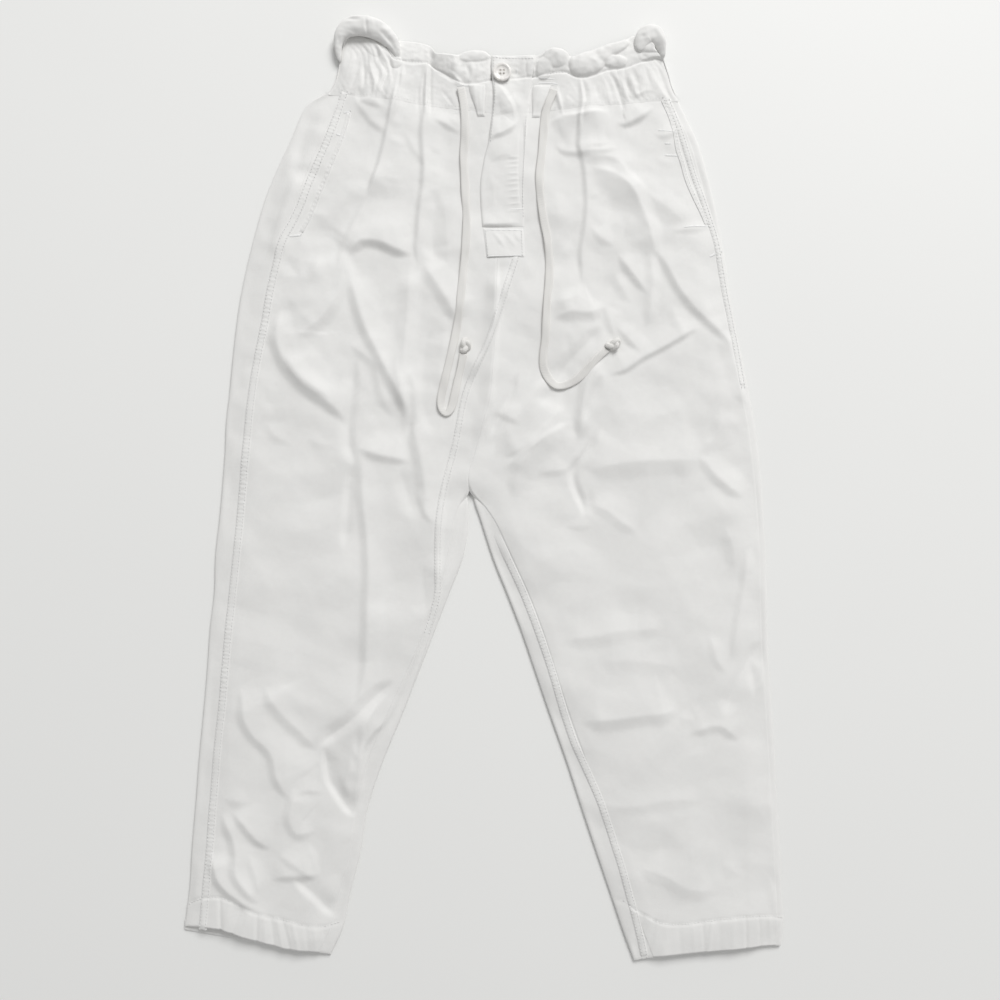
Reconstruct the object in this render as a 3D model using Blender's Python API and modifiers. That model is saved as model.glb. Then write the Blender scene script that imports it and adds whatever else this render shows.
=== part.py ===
"""Paperbag waist trousers in white cotton twill, laid flat on their back with the front up.

Frame: +X to the viewer's right (the wearer's left), +Y from the hems to the waist, +Z up from
the surface they lie on. The origin is the middle of the outline, on that surface. Tables and
sizes are in millimetres, and the meshes are in metres. Left and right are the wearer's.
"""
import math
from collections import namedtuple

import bmesh
import bpy
import numpy as np

MM = 0.001

# Driving sizes
CLOTH = 1.2             # one layer of twill with its seam fullness
CASING_WALL = 2.4       # waist casing: two layers over the elastic
SEAM_GAP = 0.3          # between two pieces that are sewn together
FOLD = 3.6              # height of a folded side edge: two layers and the air in them
FRONT_LIFT = 2.4        # how far the front stands off the back between waist and crotch
LEG_LIFT = 1.4          # the same down the legs
CASING_TOP = 8.0        # outer face of the front casing beside the fly
FRILL_FOOT = 7.0        # outer face of the front frill where it leaves the casing
FRILL_EDGE = 4.4        # the same at its free edge
BUTTON_RADIUS = 9.5
BUTTON_THICK = 3.2
BUTTON_HOLE_RADIUS = 1.0
BUTTON_HOLE_PITCH = 3.6
CORD_WIDTH = 8.0        # flat woven drawstring
CORD_THICK = 3.0
KNOT_REACH = (6.0, 8.0, 4.5)    # half sizes of an overhand knot

# The centre seam, shared by both legs: from the waist seam down to the crotch
CENTRE = ((16.0, 380), (15.5, 362), (15.0, 335), (14.5, 308), (14.0, 280), (13.5, 250), (13.0, 216),
          (12.0, 182), (11.0, 148), (8.5, 115), (6.0, 87), (-2.0, 58), (-10.0, 28), (-16.0, 2))
CROTCH = len(CENTRE) - 1

# One row for each station down a leg. out_x, out_y: the outer fold. in_x, in_y: the inner fold,
# below the crotch only. side, inseam: how far the back wraps over to the front at each fold.
Station = namedtuple("Station", "out_x out_y in_x in_y side inseam")
LEG_RIGHT = (
    Station(-166.0, 404, None, None, 20, 0),
    Station(-185.0, 390, None, None, 34, 0),
    Station(-201.0, 356, None, None, 31, 0),
    Station(-215.0, 325, None, None, 32, 0),
    Station(-227.0, 295, None, None, 35, 0),
    Station(-237.0, 260, None, None, 36, 0),
    Station(-246.0, 222, None, None, 34, 0),
    Station(-252.0, 189, None, None, 30, 0),
    Station(-256.0, 155, None, None, 28, 0),
    Station(-260.0, 120, None, None, 27, 0),
    Station(-262.5, 90, None, None, 27, 0),
    Station(-265.0, 62, None, None, 26, 0),
    Station(-266.5, 32, None, None, 24, 0),
    Station(-268.0, 2, None, None, 22, 0),
    Station(-271.0, -35, -16, -37, 21, 14),
    Station(-275.0, -74, -22, -74, 21, 15),
    Station(-277.0, -112, -36, -114, 19, 10),
    Station(-280.0, -150, -51, -153, 18, 10),
    Station(-283.5, -190, -66, -192, 18, 12),
    Station(-287.0, -235, -84, -238, 19, 14),
    Station(-290.0, -280, -103, -284, 19, 13),
    Station(-293.5, -325, -118, -330, 18, 10),
    Station(-296.5, -370, -128, -377, 18, 10),
    Station(-299.0, -410, -137, -422, 19, 11),
    Station(-301.5, -434, -143, -452, 20, 12),
    Station(-304.0, -454, -155, -480, 20, 12),
)
LEG_LEFT = (
    Station(201.0, 396, None, None, 8, 0),
    Station(211.0, 375, None, None, 8, 0),
    Station(221.0, 353, None, None, 8, 0),
    Station(229.0, 326, None, None, 8, 0),
    Station(236.0, 298, None, None, 8, 0),
    Station(242.5, 266, None, None, 8, 0),
    Station(249.0, 230, None, None, 8, 0),
    Station(254.0, 192, None, None, 8, 0),
    Station(260.0, 156, None, None, 8, 0),
    Station(267.0, 120, None, None, 8, 0),
    Station(273.0, 89, None, None, 8, 0),
    Station(278.0, 60, None, None, 7, 0),
    Station(281.5, 30, None, None, 7, 0),
    Station(284.0, 0, None, None, 6, 0),
    Station(286.5, -38, -3, -39, 6, 14),
    Station(288.5, -78, 10, -79, 6, 20),
    Station(289.0, -115, 24, -114, 6, 22),
    Station(289.5, -155, 39, -153, 6, 22),
    Station(291.5, -192, 52, -191, 6, 21),
    Station(294.0, -232, 67, -235, 6, 20),
    Station(296.0, -280, 84, -283, 6, 20),
    Station(298.5, -325, 99, -329, 6, 20),
    Station(301.0, -370, 114, -374, 6, 20),
    Station(302.5, -415, 130, -421, 6, 20),
    Station(304.0, -445, 140, -451, 6, 20),
    Station(302.0, -470, 152, -485, 6, 20),
)

# The front's pleats and largest folds: a soft ridge from one end to the other.
Ridge = namedtuple("Ridge", "name x1 y1 x2 y2 width height")
RIDGES = (
    Ridge("outer pleat, right", -98, 384, -140, 240, 13, 2.4),
    Ridge("inner pleat, right", -62, 384, -66, 236, 10, 2.8),
    Ridge("hip fold, right", -150, 250, -176, 168, 17, 2.6),
    Ridge("thigh fold, right", -128, 168, -80, 60, 17, 2.6),
    Ridge("long crease, right", -138, 92, -122, -120, 14, 2.0),
    Ridge("front edge, right", -78, 30, -92, -150, 18, 2.4),
    Ridge("shin fold, right", -205, -225, -165, -330, 17, 2.2),
    Ridge("ankle fold, right", -262, -330, -215, -425, 14, 2.4),
    Ridge("pleat, left", 103, 380, 106, 236, 11, 2.8),
    Ridge("pocket fold, left", 118, 340, 172, 236, 15, 2.8),
    Ridge("hip fold, left", 176, 246, 238, 170, 17, 2.6),
    Ridge("thigh fold, left", 230, 150, 128, 118, 15, 2.0),
    Ridge("crotch fold, left", 26, 36, 74, 84, 13, 2.8),
    Ridge("knee fold, left", 98, 22, 240, 24, 18, 1.6),
    Ridge("shin fold, left", 108, -238, 262, -248, 18, 1.6),
)

# The front of the waist. foot, top: lower and upper edge of the gathered casing. edge: free edge
# of the frill above it, where there is a flat stretch of frill. gather: depth of the casing's
# gathers. puff: how high the frill stands up between its foot and its edge.
Waist = namedtuple("Waist", "x foot top edge gather puff")
WAIST_RIGHT = (
    Waist(-152, 402.4, 429, None, 1.2, 0.0),
    Waist(-140, 401.0, 430, None, 1.4, 0.0),
    Waist(-134, 400.2, 447, None, 1.4, 0.0),
    Waist(-124, 398.7, 455, None, 1.4, 0.0),
    Waist(-112, 397.1, 449, None, 1.6, 0.0),
    Waist(-104, 396.1, 440, None, 1.6, 0.0),
    Waist(-89, 394.2, 438, 461, 1.4, 1.5),
    Waist(-74, 392.2, 437, 459, 1.2, 1.5),
    Waist(-60, 390.3, 434, 457, 0.8, 2.5),
    Waist(-50, 389.0, 429, 448, 0.6, 6.0),
    Waist(-40, 387.7, 424, 447, 0.3, 8.0),
    Waist(-29, 386.2, 420, 446, 0.2, 5.0),
    Waist(-20, 385.0, 417, 451, 0.0, 4.0),
    Waist(-9, 383.6, 416, 452, 0.0, 4.0),
    Waist(4, 381.9, 416, 446, 0.0, 1.5),
    Waist(15.8, 380.3, 416, None, 0.0, 0.0),
)
WAIST_LEFT = (
    Waist(16.2, 380.3, 416, None, 0.0, 0.0),
    Waist(54, 383.6, 420, 445, 0.0, 2.0),
    Waist(63, 384.4, 421, 451, 0.0, 5.0),
    Waist(76, 385.5, 425, 453, 0.2, 3.5),
    Waist(88, 386.6, 425, 450, 0.4, 4.5),
    Waist(97, 387.4, 423, 449, 0.6, 9.0),
    Waist(110, 388.5, 424, 454, 1.0, 11.0),
    Waist(122, 389.6, 428, 455, 1.4, 8.0),
    Waist(135, 390.7, 431, 458, 1.6, 4.0),
    Waist(144, 391.5, 433, 461, 1.6, 2.5),
    Waist(152, 392.2, 433, None, 1.6, 0.0),
    Waist(188, 395.4, 438, None, 1.2, 0.0),
)
GATHER_PITCH = 14.0
COLUMN_STEP = 4.7       # widest column of the gathered pieces, a third of a gather

# The back of the waist: the same edges, seen through the garment.
BackWaist = namedtuple("BackWaist", "x foot top edge")
WAIST_BACK = (
    BackWaist(-152, 402.6, 428, 437), BackWaist(-92, 394.9, 436, 459), BackWaist(-50, 389.3, 427, 446),
    BackWaist(4, 382.2, 416, 444), BackWaist(16, 380.7, 415, 443), BackWaist(54, 383.9, 418, 444),
    BackWaist(97, 387.7, 421, 447), BackWaist(149, 392.3, 432, 459), BackWaist(188, 395.7, 438, 442),
)

# Where the frill curls over at the sides: the curl's middle line and its radius.
CURL_RIGHT = ((-149.5, 434), (-147.5, 453), (-141, 468), (-126, 473), (-110, 467.5), (-100, 457), (-98, 447))
CURL_LEFT = ((153, 443), (158, 457), (171, 466), (180.5, 457), (182, 446))
CURL_RADIUS_RIGHT = 7.5
CURL_RADIUS_LEFT = 7.5

# Fly flap, from the waist tab down: left and right edge and the height of what it lies on.
Flap = namedtuple("Flap", "y left right lies_on")
FLAP = (
    Flap(441.5, 7.0, 52.0, CASING_TOP), Flap(417.0, 7.5, 49.0, CASING_TOP),
    Flap(400.0, 8.0, 47.0, CASING_TOP), Flap(380.0, 7.0, 46.0, CASING_TOP),
    Flap(372.0, 6.5, 44.0, FOLD + FRONT_LIFT), Flap(350.0, 4.0, 41.0, FOLD + FRONT_LIFT),
    Flap(335.0, -3.0, 39.5, FOLD + FRONT_LIFT), Flap(310.0, -5.0, 39.0, FOLD + FRONT_LIFT),
    Flap(290.0, -4.5, 39.5, FOLD + FRONT_LIFT), Flap(266.5, -2.0, 40.5, FOLD + FRONT_LIFT),
)
FLY_END = (
    Flap(266.2, -2.0, 40.5, FOLD + FRONT_LIFT), Flap(248.0, 0.0, 41.0, FOLD + FRONT_LIFT),
    Flap(231.0, 2.0, 41.5, FOLD + FRONT_LIFT),
)
BUTTON_AT = (18.5, 422.0)

# Belt loops: middle and width at the foot and at the top, and where the two ends are.
Loop = namedtuple("Loop", "name foot_x foot_width top_x top_width foot top")
LOOPS = (
    Loop("belt_loop_right", -4.5, 9.0, -7.2, 14.0, 380.0, 413.0),
    Loop("belt_loop_left", 52.5, 8.0, 59.8, 15.0, 380.0, 413.0),
)
LOOP_BOW = 1.4

# Drawstring routes seen from above, from the slit in the casing to the knot.
ROUTE_RIGHT = ((-24, 407), (-21.5, 394), (-20, 377), (-20, 356), (-21, 335), (-20, 314), (-19, 293),
               (-18, 267), (-19, 241), (-21, 220), (-23, 199), (-25, 178), (-28, 158), (-32, 139),
               (-36, 122), (-40, 105), (-43.5, 88), (-43.5, 77), (-38.5, 71), (-33, 77), (-29.5, 92),
               (-26, 108), (-23, 120), (-21, 131.5))
ROUTE_LEFT = ((72, 406), (69.5, 399), (66, 390), (62.5, 378), (61, 357), (59, 336), (57, 315), (58, 294),
              (61, 273), (65, 252), (67, 231), (67, 210), (65, 190), (64, 169), (63, 148), (61, 133),
              (61, 119), (66, 107), (74, 99.5), (85, 100.5), (97, 107), (107, 117), (116, 127),
              (125.5, 136))
KNOT_RIGHT = (-19.0, 140.0, 80)     # middle, and the angle of its long side from +X in degrees
KNOT_LEFT = (132.5, 141.0, 20)

WHITE_TWILL = (0.84, 0.84, 0.83, 1.0)
WHITE_CORD = (0.80, 0.80, 0.78, 1.0)
WHITE_PLASTIC = (0.86, 0.86, 0.83, 1.0)


def clear_scene():
    for thing in list(bpy.data.objects):
        bpy.data.objects.remove(thing, do_unlink=True)


def collection(name):
    group = bpy.data.collections.new(name)
    bpy.context.scene.collection.children.link(group)
    return group


def material(name, colour, roughness):
    made = bpy.data.materials.new(name)
    made.use_nodes = True
    shader = made.node_tree.nodes["Principled BSDF"]
    shader.inputs["Base Color"].default_value = colour
    shader.inputs["Roughness"].default_value = roughness
    shader.inputs["Metallic"].default_value = 0.0
    made.diffuse_color = colour
    return made


def add_object(name, mesh, group, colour, roughness):
    made = bpy.data.objects.new(name, mesh)
    made.data.materials.append(material(name, colour, roughness))
    group.objects.link(made)
    return made


def cloth(name, grid, wall, group):
    """A wall of cloth: its outer face is the grid of points, in mm, and Solidify adds the wall.

    The grid's rows run along the first axis. The normal of a cell is its column step crossed
    with its row step, and the wall grows to the other side of it.
    """
    rows, columns = grid.shape[:2]
    index = np.arange(rows * columns).reshape(rows, columns)
    faces = np.stack((index[:-1, :-1], index[:-1, 1:], index[1:, 1:], index[1:, :-1]), axis=-1)
    mesh = bpy.data.meshes.new(name)
    mesh.from_pydata((grid.reshape(-1, 3) * MM).tolist(), [], faces.reshape(-1, 4).tolist())
    mesh.shade_smooth()
    made = add_object(name, mesh, group, WHITE_TWILL, 0.9)
    shell = made.modifiers.new("wall", "SOLIDIFY")
    shell.thickness = wall * MM
    shell.offset = -1.0
    shell.use_even_offset = True
    return made


def centre_edge(side):
    """The inner edge of a leg's panels above the crotch, half a seam gap from the centre seam."""
    return [(x + side * SEAM_GAP / 2, y) for x, y in CENTRE]


def leg_edges(leg, side):
    """Outer and inner edge points of a leg, one of each for every station."""
    outer = [(row.out_x, row.out_y) for row in leg]
    inner = centre_edge(side) + [(row.in_x, row.in_y) for row in leg[CROTCH + 1:]]
    return np.array(outer, float), np.array(inner, float)


def smooth_step(t):
    t = np.clip(t, 0.0, 1.0)
    return t * t * (3.0 - 2.0 * t)


def ridge_height(x, y):
    """Sum of the ridges: each is a cosine bump across its line and fades to nothing at its ends."""
    total = np.zeros_like(x)
    for ridge in RIDGES:
        along = np.array((ridge.x2 - ridge.x1, ridge.y2 - ridge.y1), float)
        length = np.hypot(*along)
        along /= length
        t = ((x - ridge.x1) * along[0] + (y - ridge.y1) * along[1]) / length
        across = np.abs((x - ridge.x1) * along[1] - (y - ridge.y1) * along[0]) / ridge.width
        bump = 0.5 * (1.0 + np.cos(np.pi * np.clip(across, 0.0, 1.0)))
        total += ridge.height * bump * smooth_step(t / 0.15) * smooth_step((1.0 - t) / 0.3)
    return total


FRONT_COLUMNS = (0.0, 0.045, 0.10, 0.16, 0.22, 0.28, 0.34, 0.40, 0.46, 0.52, 0.58, 0.64, 0.70, 0.76,
                 0.82, 0.88, 0.94, 1.0)
FLY_FLAT = 0.74         # above the crotch the front is level from here to the centre seam
INSEAM_MARGIN = 0.14    # share of a leg's width over which the front comes down to the inseam
SIDE_MARGIN = 0.20      # the same at the side seam


def front_grid(leg, side):
    """Outer face of a front panel, from its side seam to the centre seam or the inseam.

    Each station is a straight line between its two seams. It stands at the fold's height along
    the seams, lifts off the back between them, and carries the ridges.
    """
    outer, inner = leg_edges(leg, side)
    direction = (inner - outer) / np.linalg.norm(inner - outer, axis=1, keepdims=True)
    start = outer + direction * np.array([[row.side + SEAM_GAP] for row in leg])
    finish = inner - direction * np.array([[row.inseam + SEAM_GAP * (row.inseam > 0)] for row in leg])
    u = np.array(FRONT_COLUMNS)[None, :, None]
    plan = start[:, None, :] * (1.0 - u) + finish[:, None, :] * u
    t = np.broadcast_to(u[..., 0], plan.shape[:2])
    station = np.arange(len(leg))[:, None]
    below = smooth_step((station - CROTCH + 4) / 4.0)
    lift = FRONT_LIFT + (LEG_LIFT - FRONT_LIFT) * below
    at_side = smooth_step(t / SIDE_MARGIN)
    at_inner = smooth_step((1.0 - t) / INSEAM_MARGIN)
    at_inner = 1.0 + (at_inner - 1.0) * below
    free = smooth_step((t - 0.08) / 0.10) * smooth_step((FLY_FLAT + 0.12 * below - t) / 0.10)
    height = FOLD + lift * at_side * at_inner + ridge_height(plan[..., 0], plan[..., 1]) * free
    return np.dstack((plan, height))


FOLD_STEPS = 3
FLOOR_COLUMNS = (0.0, 0.5, 1.0)
SEAM_TAPER = 10.0       # width of the strip beside the centre back seam that becomes the inner fold


def fold_turn(steps):
    """Points of a half turn of cloth round a fold: how far in from the fold, and how high."""
    angle = np.linspace(math.pi / 2, -math.pi / 2, steps + 1)
    radius = FOLD / 2
    return radius * (1.0 - np.cos(angle)), radius * (1.0 + np.sin(angle))


def back_grid(leg, side):
    """Outer face of a back panel, from its side seam on top, round the outer fold, flat along
    the surface, and below the crotch round the inner fold to the inseam on top."""
    outer, inner = leg_edges(leg, side)
    turn_in, turn_up = fold_turn(FOLD_STEPS)
    grid = []
    for number, row in enumerate(leg):
        reach = np.linalg.norm(inner[number] - outer[number])
        direction = (inner[number] - outer[number]) / reach
        radius = FOLD / 2
        if number > CROTCH:
            floor_end = reach - radius
            last_in = np.append(reach - turn_in[::-1], reach - row.inseam)
            last_up = np.append(turn_up[::-1], FOLD)
        else:
            floor_end = reach - SEAM_TAPER
            last_in = np.linspace(floor_end, reach, FOLD_STEPS + 2)
            last_up = np.zeros(FOLD_STEPS + 2)
        floor = radius + (floor_end - radius) * np.array(FLOOR_COLUMNS)
        along = np.concatenate(([row.side], turn_in, floor[1:-1], last_in))
        height = np.concatenate(([FOLD], turn_up, np.zeros(len(floor) - 2), last_up))
        plan = outer[number] + along[:, None] * direction
        grid.append(np.column_stack((plan, height)))
    return np.array(grid)


def columns_of(table):
    """The table's columns, read at even steps between each two of its rows."""
    x = np.array([row.x for row in table], float)
    counts = np.maximum(1, np.ceil(np.diff(x) / COLUMN_STEP).astype(int))
    at = np.concatenate([np.linspace(a, b, n, endpoint=False) for a, b, n in zip(x, x[1:], counts)])
    at = np.append(at, x[-1])
    return at, {name: np.interp(at, x, [getattr(row, name) for row in table])
                for name in table[0]._fields[1:] if getattr(table[0], name) is not None}


def casing_front(name, table, group):
    """The gathered front band: a low arch from its foot to its top with a ripple along it."""
    at, band = columns_of([row._replace(edge=row.top) for row in table])
    ripple = band["gather"] * (0.5 + np.cos(2 * np.pi * at / GATHER_PITCH))
    rows = []
    for share, rise in ((0.0, -1.2), (0.25, 0.0), (0.75, 0.0), (1.0, -1.0)):
        y = band["foot"] + (band["top"] - band["foot"]) * share
        rows.append(np.column_stack((at, y, CASING_TOP + rise + ripple)))
    return cloth(name, np.array(rows), CASING_WALL, group)


def frill_front(name, table, group):
    """A puffed strip: half a sine wave from the casing to its free edge, rippled along it."""
    at, band = columns_of([row for row in table if row.edge is not None])
    ripple = 0.7 * np.cos(2 * np.pi * at / GATHER_PITCH)
    foot = band["top"] + SEAM_GAP
    rows = []
    for share in (0.0, 0.2, 0.5, 0.8, 1.0):
        y = foot + (band["edge"] - foot) * share
        level = FRILL_FOOT + (FRILL_EDGE - FRILL_FOOT) * share + ripple * share
        rows.append(np.column_stack((at, y, level + band["puff"] * math.sin(math.pi * share))))
    return cloth(name, np.array(rows), CLOTH, group)


def flat_strip(name, lower, upper, wall, group):
    """A strip of the back between two lines of points, flat on the surface."""
    rows = [[(*point, 0.0) for point in line] for line in (upper, lower)]
    return cloth(name, np.array(rows, float), wall, group)


def line_columns(points, steps):
    """Points at even steps along a smooth curve through the given ones (a cubic spline by
    Catmull and Rom's rule)."""
    p = np.array(points, float)
    padded = np.vstack((2 * p[0] - p[1], p, 2 * p[-1] - p[-2]))
    t = np.linspace(0, 1, 12, endpoint=False)[:, None]
    stretches = []
    for a, b, c, d in zip(padded[:-3], padded[1:-2], padded[2:-1], padded[3:]):
        stretches.append(0.5 * (2 * b + (c - a) * t + (2 * a - 5 * b + 4 * c - d) * t ** 2
                                + (3 * b - a - 3 * c + d) * t ** 3))
    curve = np.vstack((*stretches, p[-1:]))
    run = np.concatenate(([0.0], np.cumsum(np.linalg.norm(np.diff(curve, axis=0), axis=1))))
    at = np.linspace(0.0, run[-1], steps + 1)
    return np.column_stack([np.interp(at, run, curve[:, k]) for k in range(p.shape[1])])


CURL_COLUMNS = 10


def frill_curl(name, path, radius, group):
    """The frill curled over on itself: an open hoop of cloth carried along the curl's middle line.

    The hoop starts on the outer side at its foot, goes up and over, and ends short of it. It
    stands on the back frill.
    """
    line = line_columns(path, CURL_COLUMNS)
    step = np.gradient(line, axis=0)
    step /= np.linalg.norm(step, axis=1, keepdims=True)
    outward = np.column_stack((-step[:, 1], step[:, 0]))
    grid = []
    for angle in np.radians(np.linspace(-60, 215, 8)):
        plan = line + outward * radius * math.cos(angle)
        height = np.full(len(line), CLOTH + SEAM_GAP + radius * (1.0 + math.sin(angle)))
        grid.append(np.column_stack((plan, height)))
    return cloth(name, np.array(grid), CLOTH, group)


def flap(name, table, group):
    """A flat strip with a soft crown, a seam gap above what it lies on."""
    rows = []
    for row in table:
        at = row.left + (row.right - row.left) * np.array((0.0, 0.15, 0.5, 0.85, 1.0))
        crown = np.array((0.0, 0.4, 0.7, 0.4, 0.0))
        level = row.lies_on + SEAM_GAP + CLOTH + crown
        rows.append(np.column_stack((at, np.full(5, row.y), level)))
    return cloth(name, np.array(rows[::-1]), CLOTH, group)


def belt_loop(loop, group):
    """A narrow strip that bows off the casing between its two tacked ends."""
    rows = []
    for share in (0.0, 0.15, 0.35, 0.65, 0.85, 1.0):
        y = loop.foot + (loop.top - loop.foot) * share
        x = loop.foot_x + (loop.top_x - loop.foot_x) * share
        half = (loop.foot_width + (loop.top_width - loop.foot_width) * share) / 2
        level = CASING_TOP + SEAM_GAP + CLOTH + LOOP_BOW * math.sin(math.pi * share)
        rows.append([(x + across * half, y, level) for across in (-1, 0, 1)])
    return cloth(loop.name, np.array(rows), CLOTH, group)


POCKET_STATIONS = (1, 5)    # first and last station of each pocket's mouth
POCKET_LIFT = 0.45          # above the front, whose faces are not level there


def pocket_edge(name, grid, group):
    """The stitched edge of a slash pocket: the front's first column of cells, moved out."""
    first, last = POCKET_STATIONS
    strip = grid[first:last + 1, :2].copy()
    strip[..., 2] += POCKET_LIFT + CLOTH
    if strip[0, 0, 0] < strip[0, 1, 0]:
        strip = strip[::-1]
    return cloth(name, strip, CLOTH, group)


def surface_height(grids, x, y, reach):
    """The highest point of the given faces within reach of a place, seen from above."""
    points = np.concatenate([grid.reshape(-1, 3) for grid in grids])
    near = np.hypot(points[:, 0] - x, points[:, 1] - y)
    return points[near < reach, 2].max()


def refined(grid):
    """A panel's face with extra points halfway along and across every cell."""
    tall = np.empty((grid.shape[0] * 2 - 1, grid.shape[1], 3))
    tall[::2], tall[1::2] = grid, (grid[:-1] + grid[1:]) / 2
    wide = np.empty((tall.shape[0], tall.shape[1] * 2 - 1, 3))
    wide[:, ::2], wide[:, 1::2] = tall, (tall[:, :-1] + tall[:, 1:]) / 2
    return wide


CORD_REACH = 9.0
CORD_STEP = 11.0


def drawstring(name, route, grids, group):
    """A flat cord that leaves the casing through its slit and lies along the front.

    Seen from above it follows its route. It rides over what is below it, and eases down from
    the casing to the front.
    """
    route = np.array(route, float)
    level = []
    for x, y in route:
        on_casing = y > CENTRE[0][1] - 6
        below = CASING_TOP if on_casing else surface_height(grids, x, y, CORD_REACH)
        level.append(below + SEAM_GAP + 0.5 + CORD_THICK / 2)
    length = np.linalg.norm(np.diff(route, axis=0), axis=1).sum()
    points = line_columns(np.column_stack((route, level)), round(length / CORD_STEP))
    curve = bpy.data.curves.new(name, "CURVE")
    curve.dimensions = "3D"
    curve.twist_mode = "Z_UP"
    spline = curve.splines.new("POLY")
    spline.points.add(len(points) - 1)
    for point, place in zip(spline.points, points * MM):
        point.co = (*place, 1.0)
        point.tilt = math.pi / 2
    curve.bevel_depth = CORD_THICK / 2 * MM
    curve.extrude = (CORD_WIDTH - CORD_THICK) / 2 * MM
    curve.bevel_resolution = 2
    curve.use_fill_caps = True
    return add_object(name, curve, group, WHITE_CORD, 0.9)


def knot(name, place, grids, group):
    """The overhand knot on the end of a drawstring, as one rounded lump."""
    x, y, turn = place
    mesh = bpy.data.meshes.new(name)
    lump = bmesh.new()
    bmesh.ops.create_uvsphere(lump, u_segments=10, v_segments=7, radius=1.0)
    bmesh.ops.scale(lump, vec=[half * MM for half in KNOT_REACH], verts=lump.verts)
    lump.to_mesh(mesh)
    lump.free()
    mesh.shade_smooth()
    made = add_object(name, mesh, group, WHITE_CORD, 0.9)
    level = surface_height(grids, x, y, CORD_REACH) + SEAM_GAP + KNOT_REACH[2]
    made.location = (x * MM, y * MM, level * MM)
    made.rotation_euler = (0.0, 0.0, math.radians(turn - 90))
    return made


def button(group, guides):
    """A turned four-hole button with a raised rim and a sunk middle."""
    level = CASING_TOP + 2 * SEAM_GAP + CLOTH + 0.8
    r, t = BUTTON_RADIUS, BUTTON_THICK
    profile = ((0.0, t - 1.1), (r * 0.62, t - 1.1), (r * 0.74, t), (r - 0.9, t), (r, t - 0.9),
               (r, 0.7), (r - 0.7, 0.0), (0.0, 0.0))
    mesh = bpy.data.meshes.new("button")
    mesh.from_pydata([(x * MM, 0.0, z * MM) for x, z in profile],
                     [(k, k + 1) for k in range(len(profile) - 1)], [])
    made = add_object("button", mesh, group, WHITE_PLASTIC, 0.35)
    made.location = (BUTTON_AT[0] * MM, BUTTON_AT[1] * MM, level * MM)
    turn = made.modifiers.new("turn", "SCREW")
    turn.axis = "Z"
    turn.steps = turn.render_steps = 24
    turn.use_merge_vertices = True
    turn.merge_threshold = 0.00005
    for number in range(4):
        angle = math.radians(45 + 90 * number)
        hole = bpy.data.meshes.new(f"hole_{number}")
        drill = bmesh.new()
        bmesh.ops.create_cone(drill, cap_ends=True, segments=6, radius1=BUTTON_HOLE_RADIUS * MM,
                              radius2=BUTTON_HOLE_RADIUS * MM, depth=4 * t * MM)
        drill.to_mesh(hole)
        drill.free()
        cutter = bpy.data.objects.new(f"hole_{number}", hole)
        guides.objects.link(cutter)
        reach = BUTTON_HOLE_PITCH / 2 * math.sqrt(2)
        cutter.location = (made.location.x + reach * math.cos(angle) * MM,
                           made.location.y + reach * math.sin(angle) * MM, made.location.z)
        cutter.hide_render = True
        cutter.display_type = "WIRE"
        cut = made.modifiers.new(f"hole_{number}", "BOOLEAN")
        cut.operation = "DIFFERENCE"
        cut.object = cutter
    return made


def main():
    clear_scene()
    garment = collection("paperbag_waist_trousers")
    guides = collection("cutters")

    front_right = front_grid(LEG_RIGHT, -1)
    front_left = front_grid(LEG_LEFT, 1)
    cloth("leg_front_right", front_right[::-1], CLOTH, garment)
    cloth("leg_front_left", front_left, CLOTH, garment)
    cloth("leg_back_right", back_grid(LEG_RIGHT, -1), CLOTH, garment)
    cloth("leg_back_left", back_grid(LEG_LEFT, 1)[::-1], CLOTH, garment)
    pocket_edge("pocket_edge_right", front_right, garment)
    pocket_edge("pocket_edge_left", front_left, garment)

    casing_front("casing_front_right", WAIST_RIGHT, garment)
    casing_front("casing_front_left", WAIST_LEFT, garment)
    frill_front("frill_front_right", WAIST_RIGHT, garment)
    frill_front("frill_front_left", WAIST_LEFT, garment)
    flat_strip("casing_back", [(row.x, row.foot) for row in WAIST_BACK],
               [(row.x, row.top) for row in WAIST_BACK], CASING_WALL, garment)
    flat_strip("frill_back", [(row.x, row.top + SEAM_GAP) for row in WAIST_BACK],
               [(row.x, row.edge) for row in WAIST_BACK], CLOTH, garment)
    frill_curl("frill_curl_right", CURL_RIGHT, CURL_RADIUS_RIGHT, garment)
    frill_curl("frill_curl_left", CURL_LEFT, CURL_RADIUS_LEFT, garment)

    flap("fly_flap", FLAP, garment)
    flap("fly_end", FLY_END, garment)
    button(garment, guides)
    for loop in LOOPS:
        belt_loop(loop, garment)

    faces = [refined(refined(front_right)), refined(refined(front_left))]
    drawstring("drawstring_right", ROUTE_RIGHT, faces, garment)
    drawstring("drawstring_left", ROUTE_LEFT, faces, garment)
    knot("drawstring_knot_right", KNOT_RIGHT, faces, garment)
    knot("drawstring_knot_left", KNOT_LEFT, faces, garment)


main()
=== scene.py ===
"""Looks of the paperbag waist trousers: cloth panels with their folds, gathers, seams, cords and button.

All tables are in millimetres in the trousers' own frame: +X to the viewer's right, +Y from the
hems to the waist, +Z up from the surface. Left and right are the wearer's. Meshes are in metres.
"""
import math
from collections import namedtuple

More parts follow.
